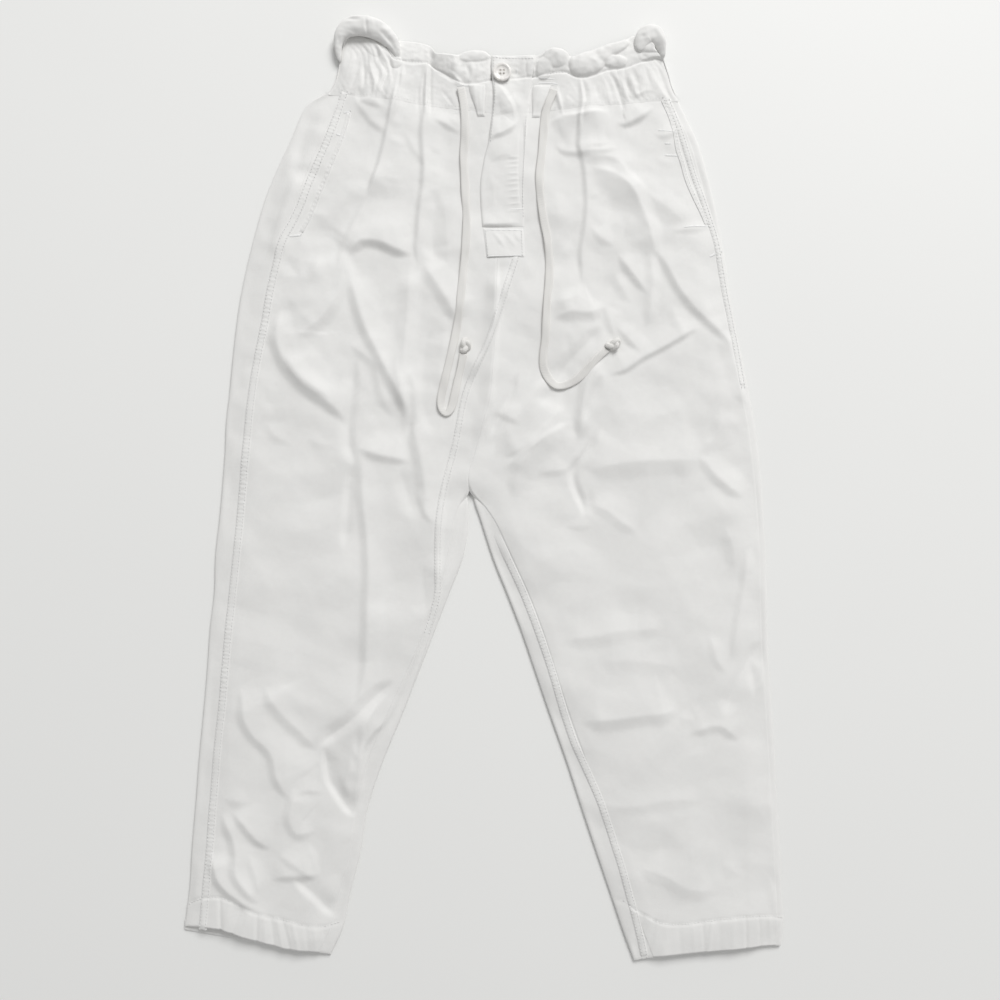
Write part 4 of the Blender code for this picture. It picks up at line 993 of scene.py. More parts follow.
FOLDS_WAIST = fold_table(
    # the casing sinks under the arch, and gathers run from there down to its foot
    (-1.2, 3, 6, (-142, 458), (-134, 464), (-124, 465), (-113, 462), (-105, 453)),
    (-2, 1.6, 1.4, (-118, 456), (-112.5, 449.7), (-110, 441), (-110, 432)),
    (2, 2.4, 2, (-114.5, 457), (-107.5, 448.6), (-102, 438), (-97, 430)),
    (-2, 1.4, 1.4, (-104.5, 446), (-99, 438), (-95.5, 430), (-95, 421)),
    (2.2, 2.4, 1.6, (-119.6, 440), (-116.6, 425), (-112.4, 414), (-113.5, 403), (-117, 395)),
    (-2.4, 2.2, 1.5, (-124.8, 441), (-123.8, 423), (-124.8, 410), (-129.5, 403)),
    (-2.4, 3.2, 2.6, (-131, 410), (-129.5, 404), (-128, 399), (-131, 393)),
    (2, 3, 1.8, (-108.3, 434), (-104.2, 420.4), (-108.3, 405.8), (-111.4, 392)),
    (-1.8, 1.4, 1.6, (-102, 433), (-100, 422.5), (-104.2, 410), (-106.2, 398)),
    (1.4, 1.6, 2, (-99, 428), (-96, 415), (-99, 402), (-102, 391)),
    (-1.4, 1.4, 1.2, (-117, 430), (-119, 418), (-118, 408)),
    (1.4, 3, 4, (-147, 408), (-142, 422), (-138, 436), (-133, 450)),
    (-1.3, 2, 2, (-140, 402), (-134, 418), (-130, 434), (-127, 448)),
    (1.4, 3, 1.6, (-125, 396), (-117, 396.5), (-106, 389.5)),
    (-1, 1.5, 1.5, (-92, 424), (-89, 428), (-84, 431)),
    # pleats carried up from the leg
    (2.6, 2, 10, (-83, 434), (-84.5, 425), (-86.5, 410), (-90.5, 390), (-96, 370)),
    (-1.6, 1.8, 1.3, (-85, 432), (-86.8, 418), (-89, 402), (-93, 385), (-97.5, 368)),
    (-1.6, 1.6, 1.2, (-60.5, 426), (-63, 406), (-63, 391), (-63, 378)),
    (2.2, 2, 3.2, (-57.5, 438), (-59.5, 416), (-60, 396), (-59, 376)),
    (-1.4, 1.6, 1.4, (-55, 438), (-56, 414), (-55.8, 395), (-55.5, 376)),
    (-1, 1.3, 1.3, (-67, 412), (-68, 394), (-67.5, 374)),
    (-1.2, 1.6, 1.3, (-45, 407), (-38, 398), (-31, 388)),
    # frill, viewer's left
    (-1.4, 1.2, 1.2, (-88, 436), (-78, 434), (-68, 433.5), (-58, 434)),
    (1.6, 2.2, 1.6, (-57, 452), (-53, 444), (-51, 436)),
    (-1.3, 1.6, 1.6, (-54, 450), (-51, 446), (-50, 442)),
    (-1.6, 1.8, 1.4, (-50, 424), (-44, 422), (-37, 419), (-31, 415), (-24, 411.5)),
    (-1.2, 1.3, 1.3, (-38, 440), (-38.5, 432), (-39, 424)),
    (1.2, 1.3, 2, (-30, 440), (-30, 431), (-33, 422)),
    (1.6, 1.6, 3, (-36, 426), (-29, 418), (-24, 413), (-18, 410)),
    (1.2, 1.5, 2, (-31, 420), (-25, 412), (-19, 409)),
    (1.8, 2, 2, (-14, 437), (-12, 427), (-14, 416), (-16, 409)),
    (1.6, 2, 3, (-8, 435), (-6, 426), (-9, 415)),
    (-1.5, 1.6, 1.6, (-19, 434), (-16, 425), (-13, 414)),
    # slits for the cords, and creases of the casing beside the fly
    (-3.6, 2.4, 1.4, (-23, 406), (-24.5, 398), (-23, 391), (-21, 385)),
    (-2.6, 2, 2, (71, 407), (72, 398), (70, 389), (68, 384)),
    (2.4, 1.4, 1.6, (75, 411), (77, 398), (80, 385), (82, 378)),
    (1.1, 3, 1.2, (70, 377), (82, 379), (100, 380), (114, 382), (128, 384)),
    (-2.6, 2.6, 1.4, (101, 418), (104, 405), (105, 394), (103, 384), (101, 372), (99, 362)),
    (2, 9, 2, (98, 420), (101, 405), (101.5, 392), (99, 380), (98, 366)),
    (1, 3, 3, (88, 410), (86, 396), (89, 384)),
    # gathers on the viewer's right
    (1.1, 2.2, 3, (123, 424), (125, 410), (129, 396), (132, 384)),
    (-1.6, 1.6, 1.4, (128, 424), (134, 417), (139, 404), (143, 390), (147, 379)),
    (1.6, 1.8, 3, (135, 425), (141, 414), (146, 402), (151, 391)),
    (-1.4, 1.6, 1.4, (144, 424), (147, 413), (152, 402), (156, 394)),
    (1.6, 1.8, 2.4, (149, 425), (154, 411), (157, 400), (162, 402), (170, 407)),
    (-1.2, 1.5, 1.5, (153, 429), (157, 418), (160, 408)),
    (1.1, 2, 3, (159, 430), (163, 419), (167, 410)),
    (-1.2, 1.4, 1.4, (166, 431), (169, 420), (173, 410)),
    (1.1, 2, 4, (172, 431), (176, 418), (184, 404), (194, 390)),
    (-1.1, 1.6, 1.6, (179, 434), (184, 420), (189, 406), (198, 392)),
    (-0.8, 1.5, 1.5, (114, 414), (117, 402), (119, 392)),
    (0.7, 1.5, 3, (86, 416), (92, 408), (97, 399)),
    (-0.7, 1.5, 1.5, (84, 404), (90, 397), (96, 390)),
    (0.9, 5, 1.6, (156, 396), (162, 404), (172, 405), (178, 402)),
    (0.8, 2, 4, (180, 410), (186, 400), (193, 386)),
)


def waist_line(table, x, field):
    """One edge of the waist read at each x, on a curve through the table's rows."""
    line = smooth_line([(row.x, getattr(row, field)) for row in table], 1.5)
    return np.interp(x, line[:, 0], line[:, 1])


def mound_height(x, y):
    """The highest mound at each place: a dome with steep sides, h (1 - |u|^2.4 - |v|^2.4)^0.5, with
    u and v along and across it as shares of its half length and half width."""
    total = np.zeros_like(x)
    for mound in MOUNDS:
        turn = math.radians(mound.turn)
        dx, dy = x - mound.x, y - mound.y
        u = (dx * math.cos(turn) + dy * math.sin(turn)) / mound.length
        v = (dy * math.cos(turn) - dx * math.sin(turn)) / mound.width
        dome = np.clip(1 - np.abs(u) ** 2.4 - np.abs(v) ** 2.4, 0, 1) ** 0.5 * (1 + mound.lean * v)
        total = np.maximum(total, mound.height * dome)
    return total


def side_gap(x, y):
    """How far each place lies from the outline at the nearer side of the waist."""
    gaps = [np.abs(place_on(np.array([(row.x, row.edge) for row in rows]), x.ravel(), y.ravel())[0])
            for rows in (WAIST_RIGHT[:6], WAIST_LEFT[-7:])]
    return np.minimum(*gaps).reshape(x.shape)


def crinkles(x, y):
    """Fine gathers of the casing away from the fly: soft puffs between sharp creases,
    -d (1 - |sin(pi s)|^0.6), where s is x over their pitch, bent to and fro by two waves."""
    bend = 2.4 * np.sin(y / 8.0 + x / 21.0) + 1.5 * np.sin(y / 4.6 - x / 15.0)
    s = (x + 0.25 * (y - 400.0) + bend) / CRINKLE_PITCH
    uneven = 0.55 + 0.45 * np.sin(x / 9.7 + y / 14.0 + 1.3)
    gathered = smooth_step((-94.0 - x) / 10.0) + smooth_step((x - 114.0) / 12.0)
    return -CRINKLE_DEPTH * uneven * gathered * (1 - np.abs(np.sin(math.pi * s)) ** 0.6)


def waist_height(x, y):
    """Height of the front of the waist: it carries on from the legs, swells a little into the
    casing, sinks at the casing's top stitches, and the frill goes on to its own edge's height."""
    sizes = bpy.context.scene.trousers_cloth
    right = x < CENTRE_X
    foot, top, edge, level = (
        np.where(right, waist_line(WAIST_RIGHT, x, field), waist_line(WAIST_LEFT, x, field))
        for field in ("foot", "top", "edge", "level"))
    swell = SWELL * smooth_step((y - foot + 5.0) / 16.0)
    from_side = np.minimum(x + 164.0 - 0.50 * (y - foot), 200.0 - 0.22 * (y - foot) - x)
    base = FOLD_HEIGHT + sizes.lift * smooth_step(from_side / EDGE_CLIMB)
    casing = base + swell * smooth_step(from_side / 20.0)
    share = np.clip((y - top) / np.maximum(edge - top, 4.0), 0, 1.1)
    frill = FRILL_FOOT_LEVEL + (level - FRILL_FOOT_LEVEL) * share + 0.8 * np.sin(math.pi * share)
    in_frill = smooth_step((y - top + 0.8) / 2.4)
    z = casing + (frill - casing) * in_frill + mound_height(x, y)
    z = z - TOP_TROUGH * np.exp(-((y - top) / 1.2) ** 2) * smooth_step((edge - top - 5.0) / 4.0)
    gap = side_gap(x, y)
    lumps = shared_lumps(x, y) + facets(x, y, 33, 8.5, 0.03 + 0.05 * in_frill)
    lumps = lumps + crinkles(x, y) * smooth_step((y - foot) / 5.0) * (1 - in_frill)
    z = soft_floor(z + lumps * smooth_step((gap - 0.5) / 6.0), WAIST_FLOOR, 0.4)
    turned = np.sqrt(1 - 0.98 * (1 - np.clip(gap / EDGE_ROUND, 0, 1)) ** 2)
    return WAIST_REST + (z - WAIST_REST) * turned


def roll_down(steps):
    """How far a rim falls in each of its rows, from its edge inwards: 1 less a quarter round."""
    return 1 - np.sqrt(1 - (1 - np.arange(steps) / steps) ** 2 * 0.98)


def edge_drop(count, steps):
    """How far a strip's rows fall at its ends: rows count, the first and last steps of them."""
    t = np.zeros(count)
    t[:steps] = roll_down(steps)
    t[-steps:] = t[:steps][::-1]
    return t


def waist_panel(name, table, low, high, x_from, x_to, rolled=(0.0, 0.0, 0.0, 0.0), under=0.0):
    """A panel of the waist between two of the table's edges.

    rolled: how far its rim falls at its low edge, its high edge, its left and its right side.
    under: how far its low edge runs on below its seam line.
    """
    cell = grid_step("fine_cell")
    columns = max(8, int((x_to - x_from) / cell))
    x = np.linspace(x_from, x_to, columns)
    lower, upper = waist_line(table, x, low) - under, waist_line(table, x, high)
    rows = max(8, int((upper - lower).max() / cell))
    v = np.linspace(0, 1, rows)[:, None]
    y = lower + (upper - lower) * v
    x = np.broadcast_to(x, y.shape)
    down = np.zeros(y.shape)
    for depth, part in zip(rolled, (down, down[::-1], down.T, down.T[::-1])):
        part[:RIM_ROWS] = np.maximum(part[:RIM_ROWS], depth * roll_down(RIM_ROWS)[:, None])
    z = np.maximum(waist_height(x, y) - down, WAIST_REST)
    return add_piece(grid_object(name, np.dstack((x, y, z))), (name,))


def back_waist_panel(name, low, high, seed):
    """A panel of the waist that lies underneath, puckered along its seams, flat on the surface."""
    cell = grid_step("fine_cell", 1.6)
    columns = int(358 / cell)
    x = np.linspace(-159.5, 198.5, columns)
    lower, upper = waist_line(WAIST_BACK, x, low), waist_line(WAIST_BACK, x, high)
    rows = max(8, int((upper - lower).max() / cell))
    v = np.linspace(0, 1, rows)[:, None]
    y = lower + 0.15 + (upper - lower - 0.3) * v
    x = np.broadcast_to(x, y.shape)
    wander = ripple(x, y * 0.2, seed, 30.0, 1.2)
    gathers = 0.5 + 0.5 * np.cos(2 * math.pi * x / 8.5 + wander)
    z = 0.55 * gathers * (0.4 + 0.6 * np.abs(np.cos(math.pi * v))) + np.abs(ripple(x, y, seed, 20, 0.1))
    made = grid_object(name, np.dstack((x, y, z))[::-1])
    return add_piece(add_wall(made, 1.0), (name,))


FOLDS_CURL = fold_table(
    # the arch on the viewer's left
    (-2.4, 1.3, 0.9, (-142, 475), (-136, 476), (-131, 475.6), (-125, 475)),
    (1.6, 1.5, 1.2, (-142, 478), (-134, 479), (-124, 479.6)),
    (-2.2, 1, 0.8, (-121.7, 481), (-121.2, 470.5), (-119.6, 459)),
    (1.6, 1.2, 3.4, (-115.6, 479), (-114.4, 469), (-117.6, 459)),
    (-2, 1.4, 1, (-112, 467.5), (-106, 463), (-100, 457.5), (-94, 450.5), (-89, 443)),
    (1.4, 1.2, 2.6, (-111, 471.5), (-104, 467), (-97, 461.5), (-91, 454)),
    (-1.4, 1.2, 1, (-152, 463), (-149.5, 456), (-148.5, 448), (-149.5, 441)),
    (1.3, 1.2, 1.6, (-143, 468.5), (-148, 464), (-152, 457)),
    (-1.3, 1, 1, (-140, 466), (-134, 463.5), (-127, 464.5), (-122, 468)),
    (1.1, 1, 1.4, (-139, 470.5), (-132, 468), (-126, 470)),
    (-1, 0.9, 0.9, (-108, 474), (-106, 469), (-107, 463)),
    (-1, 0.9, 0.9, (-98, 466), (-98, 459), (-100, 454)),
    # the curl on the viewer's right
    (-1.7, 2.2, 1.3, (164, 448), (169, 450.5), (176, 450), (182, 445), (186, 439)),
    (1.2, 1.6, 2.4, (178, 467), (182, 460), (185, 452), (186, 444)),
    (-1.2, 1.1, 1.3, (173, 468), (176, 461), (180, 456)),
    (-1.2, 1.1, 1, (160, 464), (164, 457), (165, 450)),
    (1.2, 1.2, 1.8, (166, 470), (168, 462), (168, 455)),
    (-1, 1, 0.9, (179, 468), (183, 462), (186, 455)),
)


def curl_of_cloth(name, path, half_width, half_height, lean):
    """A curled edge of cloth: a flattened tube along a path, its upper side leaning and carrying
    listed creases and small facets; the height added fades to nothing at the tube's sides."""
    line = smooth_line(path, 0.8)
    n = len(line)
    at = np.linspace(0, 1, len(half_width))
    s = np.linspace(0, 1, n)

    def relief(share, angle):
        return np.sqrt(np.clip(1 - np.abs(2 * share - 1) ** 9, 0.02, 1)) + 0 * angle

    rings = tube_rings(line, np.interp(s, at, half_width), np.interp(s, at, half_height), 64, 0.8, 0.0,
                       relief)
    x, y = rings[..., 0], rings[..., 1]
    middle = line[:, None, :]
    rise = np.clip((rings[..., 2] - middle[..., 2]) / np.interp(s, at, half_height)[:, None], 0, 1)
    upper = smooth_step(rise * 1.5)
    fan = (x - middle[..., 0]) * math.cos(lean) + (y - middle[..., 1]) * math.sin(lean)
    lumps = 0.8 * fold_height(FOLDS_CURL, x, y, 0.5) + facets(x, y, 37, 9.0, 0.07) + 0.16 * fan
    rings[..., 2] = np.clip(rings[..., 2] + lumps * upper, 0.6, 17.6)
    made = tube_object(name, rings, twill())
    return add_piece(made, (name,))


# ---------------------------------------------------------------- fly
# Rows down the fly: its left and right edge, and how far each stands over the front.
Flap = namedtuple("Flap", "y left right raise_left raise_right")
FLAP = rows_of(
    Flap,
    (441.5, 7.5, 53, 2, 1.6), (430, 7.3, 51.5, 2, 1.6), (417, 8, 49.5, 2.2, 1.4),
    (400, 9.5, 47.5, 2.2, 1), (388, 9, 46.5, 2.2, 0.9), (380, 8, 46, 2.2, 0.9),
    (372, 7, 45, 2, 0.5), (350, 4, 42.5, 1.8, 0.3), (335, 0, 41, 1.8, 0.4),
    (310, -4, 40.5, 1.6, 0.4), (290, -4, 41.5, 1.6, 0.5), (263, -2, 41.5, 1.5, 0.6),
)
FLY_END = rows_of(
    Flap,
    (261.5, -1.3, 40.8, 0.7, 0.5), (248, 0.5, 41.8, 1.1, 0.9), (231.5, 2.5, 42, 1.2, 1),
)
FOLDS_FLY = fold_table(
    (2.4, 1.8, 8, (11, 414), (17, 405), (24, 395), (30, 384), (31, 372)),
    (1.2, 2, 5, (29, 402), (33, 393), (36, 384)),
    (-1.5, 3, 5, (12, 398), (15, 388), (17, 376), (16, 364)),
    (2.2, 8, 1.7, (3, 350), (10, 357), (20, 361), (30, 368), (36, 377)),
    (-1.6, 1.4, 1.4, (26, 421), (31, 422), (37, 424)),
    (-0.9, 5, 6, (30, 440), (33, 430), (36, 418), (35, 406)),
    (1, 4, 4, (41, 432), (43, 415), (43, 395)),
    (0.8, 3, 2, (34, 404), (38, 390), (38, 375)),
    (0.9, 6, 2, (5, 330), (14, 336), (24, 338), (34, 334)),
    (0.7, 3, 3, (6, 318), (10, 300), (9, 280)),
    (-0.8, 1.5, 1.5, (40, 378), (39, 345), (38, 320), (39, 300), (38.5, 278)),
    (1, 1.6, 1.6, (44, 378), (43, 345), (42, 320), (42.5, 300), (42.5, 278)),
    (1.5, 8, 1.8, (-6, 267), (6, 266.5), (18, 267), (30, 267.5), (40, 268)),
    (0.8, 1.5, 1.2, (8, 259), (16, 250), (22, 240)),
    (0.7, 1.5, 1.2, (20, 258), (27, 250), (33, 242)),
    (0.7, 1.5, 1.2, (30, 258), (35, 252), (39, 246)),
)
# Heights of the small puckers beside the fly's stitches.
LADDER = (335, 330, 325, 318, 312, 307, 301, 294, 287, 280)


def flap_line(table, y, field):
    """One column of the fly's table read at each y, on a curve through its rows."""
    line = smooth_line([(row.y, getattr(row, field)) for row in table], 2.0)[::-1]
    return np.interp(y, line[:, 0], line[:, 1])


def front_level(x, y):
    """Height of what the fly lies on: the waist above the waist seam, and the legs below it."""
    foot = np.where(x < CENTRE_X, waist_line(WAIST_RIGHT, x, "foot"),
                    waist_line(WAIST_LEFT, x, "foot"))
    shape = x.shape
    legs = cloth_top(x.ravel(), y.ravel()).reshape(shape)
    waist = waist_height(x, y)
    return legs + (waist - legs) * smooth_step((y - foot + 2) / 4)


def fly_height(x, y, table):
    """Top of the fly flap: a level of its own over the front, plus its folds and ladder puckers."""
    left, right = flap_line(table, y, "left"), flap_line(table, y, "right")
    t = np.clip((x - left) / (right - left), 0, 1)
    rise = flap_line(table, y, "raise_left")
    rise = rise + (flap_line(table, y, "raise_right") - rise) * smooth_step(t)
    level = front_level(x, y)
    folds = fold_height(FOLDS_FLY, x, y, 0.7)
    for rung in LADDER:
        folds = folds + 0.28 * np.exp(-((y - rung - 0.1 * (x - 30)) / 1.1) ** 2) * np.exp(
            -((x - 31) / 6.0) ** 2)
    return np.maximum(level, 0) + rise + folds * bpy.context.scene.trousers_cloth.fold_gain


def fly_panel(name, table):
    """A strip of the fly from its upper end to its lower end, its rim rolled down to the front."""
    cell = grid_step("fine_cell")
    y = np.arange(table[-1].y, table[0].y + cell, cell)[:, None]
    y = np.clip(y, table[-1].y, table[0].y)
    left, right = flap_line(table, y, "left"), flap_line(table, y, "right")
    columns = int((right - left).max() / cell)
    u = np.linspace(0, 1, columns)[None]
    x = left + (right - left) * u
    y = np.broadcast_to(y, x.shape)
    down = np.maximum(edge_drop(len(y), 3)[:, None], edge_drop(columns, 3)[None])
    z = fly_height(x, y, table)
    z = z - down * (z - front_level(x, y) + 0.3)
    return add_piece(grid_object(name, np.dstack((x, y, z))), (name,))


# Belt loops: middle and width at the foot and at the top.
Loop = namedtuple("Loop", "name foot_x foot_width top_x top_width foot top")
LOOPS = rows_of(
    Loop,
    ("belt_loop_right", -3, 8, -7.5, 17, 377.5, 410.5),
    ("belt_loop_left", 53.5, 8.5, 60, 18.5, 377.5, 411),
)


def belt_loop(loop):
    """A belt loop: a strip whose width narrows to its foot, bowed up between its two stitched ends,
    its faces folded round at both sides."""
    v = np.linspace(0, 1, 44)[:, None]
    u = np.linspace(-1, 1, 25)[None]
    narrow = smooth_step(v * 1.1)
    middle = loop.foot_x + (loop.top_x - loop.foot_x) * v
    half = 0.5 * (loop.foot_width + (loop.top_width - loop.foot_width) * narrow)
    x = middle + half * u
    y = loop.foot + (loop.top - loop.foot) * v + 0 * u
    bow = 1.5 * np.sin(math.pi * v) ** 0.6 * (0.35 + 0.65 * v)
    creases = (0.45 * np.sin(3.4 * u + 2.5 * v + 0.5) + 0.12 * np.cos(9 * u - 3 * v)) * v
    sides = 1 - np.abs(u) ** 6
    ends = smooth_step(v / 0.05) * smooth_step((1 - v) / 0.05)
    ground = front_level(x, y)
    z = ground + 0.2 + (0.9 + bow + creases) * sides * (0.1 + 0.9 * ends)
    return add_piece(grid_object(loop.name, np.dstack((x, y, z))), (loop.name,))


# The button's wells: their offset from its middle both ways, their radius and their depth.
WELL_OFFSET, WELL_RADIUS, WELL_DEPTH = 1.75, 1.25, 1.5


def button_object():
    """A button turned from its profile: a raised rim, a shallow dish and four wells for the thread.

    Radius against height is the profile; each well lowers the dish by a steep round step.
    """
    low, high = BUTTON_LOW, BUTTON_HIGH
    centre, radius = (low + high)[:2] / 2, (high - low)[0] / 2
    thick = high[2] - low[2]
    r = np.concatenate((np.linspace(0.02, 0.86, 46), (0.90, 0.94, 0.97, 0.99, 1.0, 1.0, 0.99, 0.96, 0.9),
                        np.linspace(0.8, 0.02, 8)))[:, None] * radius
    top = np.concatenate((np.interp(r[:46, 0] / radius, (0, 0.45, 0.62, 0.74, 0.86),
                                    (0.66, 0.64, 0.74, 0.95, 1.0)),
                          (0.99, 0.96, 0.9, 0.8, 0.66, 0.4, 0.26, 0.12, 0.04), np.zeros(8)))[:, None]
    angle = -np.linspace(0, 2 * math.pi, 96, endpoint=False)[None]
    x, y = r * np.cos(angle), r * np.sin(angle)
    z = low[2] + thick * top + 0 * angle
    for sx, sy in ((1, 1), (-1, 1), (-1, -1), (1, -1)):
        gap = np.hypot(x - sx * WELL_OFFSET, y - sy * WELL_OFFSET)
        z = z - np.where(top > 0.5, WELL_DEPTH * smooth_step((WELL_RADIUS - gap) / 0.5), 0)
    rings = np.dstack((x + centre[0], y + centre[1], z))[::-1]
    return tube_object("button", rings, button_material())


def button_material():
    """Pressed shell-white plastic: cloudy bands in the colour and a faint bump from the same clouds."""
    made, tree, shader, drift = clouded_material(
        "button_shell", {"Roughness": 0.34, "Coat Weight": 0.25},
        bpy.context.scene.trousers_finishes.button, (0.88, 1.08), (0.35, 0.65), 150.0, detail=3.0,
        distortion=1.5)
    tree.links.new(bump(tree, drift, 0.0001), shader["Normal"])
    return made


# ---------------------------------------------------------------- drawstrings
# Routes seen from above, from the slit in the casing to the knot, as in the CAD.
ROUTE_RIGHT = (
    (-24, 407), (-21.5, 394), (-20, 377), (-20, 356), (-21, 335), (-20, 314), (-19, 293),
    (-18, 267), (-19, 241), (-21, 220), (-23, 199), (-25, 178), (-28, 158), (-32, 139), (-36, 122),
    (-40, 105), (-43.5, 88), (-43.5, 77), (-38.5, 71), (-33, 77), (-29.5, 92), (-26, 108),
    (-23, 120), (-21, 131.5),
)
ROUTE_LEFT = (
    (72, 406), (69.5, 399), (66, 390), (62.5, 378), (61, 357), (59, 336), (57, 315), (58, 294),
    (61, 273), (65, 252), (67, 231), (67, 210), (65, 190), (64, 169), (63, 148), (61, 133),
    (61, 119), (66, 107), (74, 99.5), (85, 100.5), (97, 107), (107, 117), (116, 127), (125.5, 136),
)
# A knot's middle and its turn in degrees, then its trefoil's scales along, across and upwards, and
# its strand's half width and half height.
Knot = namedtuple("Knot", "x y turn")
KNOT_SCALE = (2.15, 1.15, 1.3)
KNOT_STRAND = (2.7, 2.1)
KNOT_RIGHT = Knot(-19.0, 140.0, 80)
KNOT_LEFT = Knot(132.5, 141.0, 20)


def moving_mean(values, reach):
    """Each value replaced by the mean of its neighbours within reach, the ends held."""
    padded = np.pad(values, reach, mode="edge")
    return np.convolve(padded, np.ones(2 * reach + 1) / (2 * reach + 1), mode="valid")


def cord_line(route):
    """The cord's middle line: its route from above, lying on the cloth along the way."""
    sizes = bpy.context.scene.trousers_cloth
    line = smooth_line(route, 1.0)
    level = front_level(line[:, 0], line[:, 1])
    level = np.maximum(moving_mean(level, 7), level)
    level = moving_mean(level, 4) + sizes.cord_thick / 2 - 0.25
    return np.column_stack((line, level))


def drawstring(name, route, knot, seed):
    """A flat woven cord: a rounded strip along its line, leaning a little from side to side, its
    two edges thicker than its middle, with the bumps of its braid along both edges."""
    sizes = bpy.context.scene.trousers_cloth
    path = cord_line(route)
    n = len(path)
    s = np.arange(n)
    slow, quick = 2 * math.pi * s / 83.0 + seed, 2 * math.pi * s / 37.0 + 2 * seed
    lean = 0.16 * np.sin(slow) + 0.10 * np.sin(quick)

    def relief(share, angle):
        braid = 0.006 * np.cos(2 * math.pi * share * n / 2.6 + math.pi * (np.cos(angle) > 0))
        return 1.0 + braid * np.abs(np.cos(angle)) - 0.08 * np.abs(np.sin(angle)) ** 8

    half = 0.5 * sizes.cord_width * (1 + 0.05 * np.sin(2 * math.pi * s / 51.0 + seed))
    rings = tube_rings(path, half, 0.5 * sizes.cord_thick, 28, 0.7, lean, relief)
    made = tube_object(name, rings, cord_weave())
    add_piece(made, (name,))
    tied = overhand_knot(name.replace("drawstring", "drawstring_knot"), knot)
    return made


def overhand_knot(name, knot):
    """An overhand knot: a tube carried once round a trefoil, flattened to lie on the cloth.

    The trefoil is x = sin t + 2 sin 2t, y = cos t - 2 cos 2t, z = -sin 3t, scaled to the knot.
    """
    t = np.linspace(0, 2 * math.pi, 181)
    level = float(front_level(np.array([knot.x]), np.array([knot.y]))[0])
    trefoil = np.column_stack((KNOT_SCALE[0] * (np.sin(t) + 2 * np.sin(2 * t)),
                               KNOT_SCALE[1] * (np.cos(t) - 2 * np.cos(2 * t)),
                               -KNOT_SCALE[2] * np.sin(3 * t)))
    turn = math.radians(knot.turn)
    c, s = math.cos(turn), math.sin(turn)
    places = np.column_stack((knot.x + c * trefoil[:, 0] - s * trefoil[:, 1],
                              knot.y + s * trefoil[:, 0] + c * trefoil[:, 1],
                              level + 3.0 + trefoil[:, 2]))
    rings = tube_rings(places, *KNOT_STRAND, 20, 0.85, 0.3 * np.sin(2 * t),
                       lambda share, angle: 1 + 0.04 * np.cos(share * 2 * math.pi * 40 + 3 * angle))
    return add_piece(tube_object(name, rings, cord_weave()), (name,))


# ---------------------------------------------------------------- seams, stitches and tacks
def strip_frame(places, spacing):
    """A line at an even spacing with its left-hand normals in the plane."""
    line = smooth_line(places, spacing)
    tangent = np.gradient(line, axis=0)
    tangent /= np.linalg.norm(tangent, axis=1, keepdims=True)
    return line, np.column_stack((-tangent[:, 1], tangent[:, 0]))


def seam_band(name, places, width, raised, level, pucker, seed, nodes=(), columns=13, fade=(5, 5)):
    """A felled seam: a strip raised over the cloth along a line, sunk along its two stitch rows and
    puckered between them: height = cloth + raised (1 - u^8) + pucker cosine of the run. fade: over
    how far it sinks into the cloth at its two ends."""
    spacing = 1.1 * 1.0
    line, normal = strip_frame(places, spacing)
    u = np.linspace(-1, 1, columns)[None]
    plan = line[:, None, :] + normal[:, None, :] * (width / 2 * u)[..., None]
    rng = np.random.default_rng(seed)
    run = np.arange(len(line)) * spacing
    phase = 2 * math.pi * run / PUCKER_PITCH + np.sin(run / 17.0 + rng.uniform(0, 6)) * 1.4
    phase = phase + np.sin(run / 7.3)
    amount = pucker * (0.6 + 0.4 * np.sin(run / 29.0 + rng.uniform(0, 6)))
    stand = smooth_step((run + 1.0) / (fade[0] + 1.0))
    stand = stand * smooth_step((run[-1] - run + 1.0) / (fade[1] + 1.0))
    waves = (amount * np.cos(phase))[:, None] * np.cos(math.pi * u / 2) ** 0.5
    slanted = (amount * 0.5 * np.sin(phase * 0.5))[:, None] * u
    rows = -0.35 * (np.exp(-((np.abs(u) * width / 2 - (width / 2 - SEAM_ROW_INSET)) / 0.6) ** 2))
    z = level(plan[..., 0].ravel(), plan[..., 1].ravel()).reshape(plan.shape[:2])
    relief = raised * (1 - np.abs(u) ** 8) + (waves + slanted) * (1 - u ** 4) + rows
    z = z + relief * stand[:, None] - 0.5 * np.abs(u) ** 8 - 0.5 * (1 - stand[:, None])
    return add_piece(grid_object(name, np.dstack((plan, z))), nodes)


def stitch_places(places, level, raised, offset=0.0):
    """Middles and directions of the stitches in one row: even steps along a line, set off to its
    left, on the cloth."""
    sizes = bpy.context.scene.trousers_cloth
    line, normal = strip_frame(places, sizes.stitch_pitch)
    line = line + normal * offset
    z = level(line[:, 0], line[:, 1]) + raised
    along = np.gradient(np.column_stack((line, z)), axis=0)
    return np.column_stack((line, z)), along / np.linalg.norm(along, axis=1, keepdims=True)


def stitches(name, rows, thickness=0.42):
    """Many stitches as one mesh: each is a spindle with six corners, two along the thread."""
    sizes = bpy.context.scene.trousers_cloth
    middle = np.vstack([row[0] for row in rows])
    along = np.vstack([row[1] for row in rows])
    side = np.cross(along, (0.0, 0.0, 1.0))
    side /= np.linalg.norm(side, axis=1, keepdims=True)
    up = np.cross(side, along)
    reach = (along * sizes.stitch_length / 2, -along * sizes.stitch_length / 2, side * thickness,
             -side * thickness, up * thickness, -up * thickness)
    points = np.stack([middle + part for part in reach], axis=1).reshape(-1, 3)
    face = np.array(((0, 4, 2), (0, 3, 4), (0, 5, 3), (0, 2, 5), (1, 2, 4), (1, 4, 3), (1, 3, 5),
                     (1, 5, 2)))
    tris = (np.arange(len(middle))[:, None, None] * 6 + face[None]).reshape(-1, 3)[:, ::-1]
    made = mesh_object(name, points, np.zeros((0, 4), int), tris, thread())
    return add_piece(made)


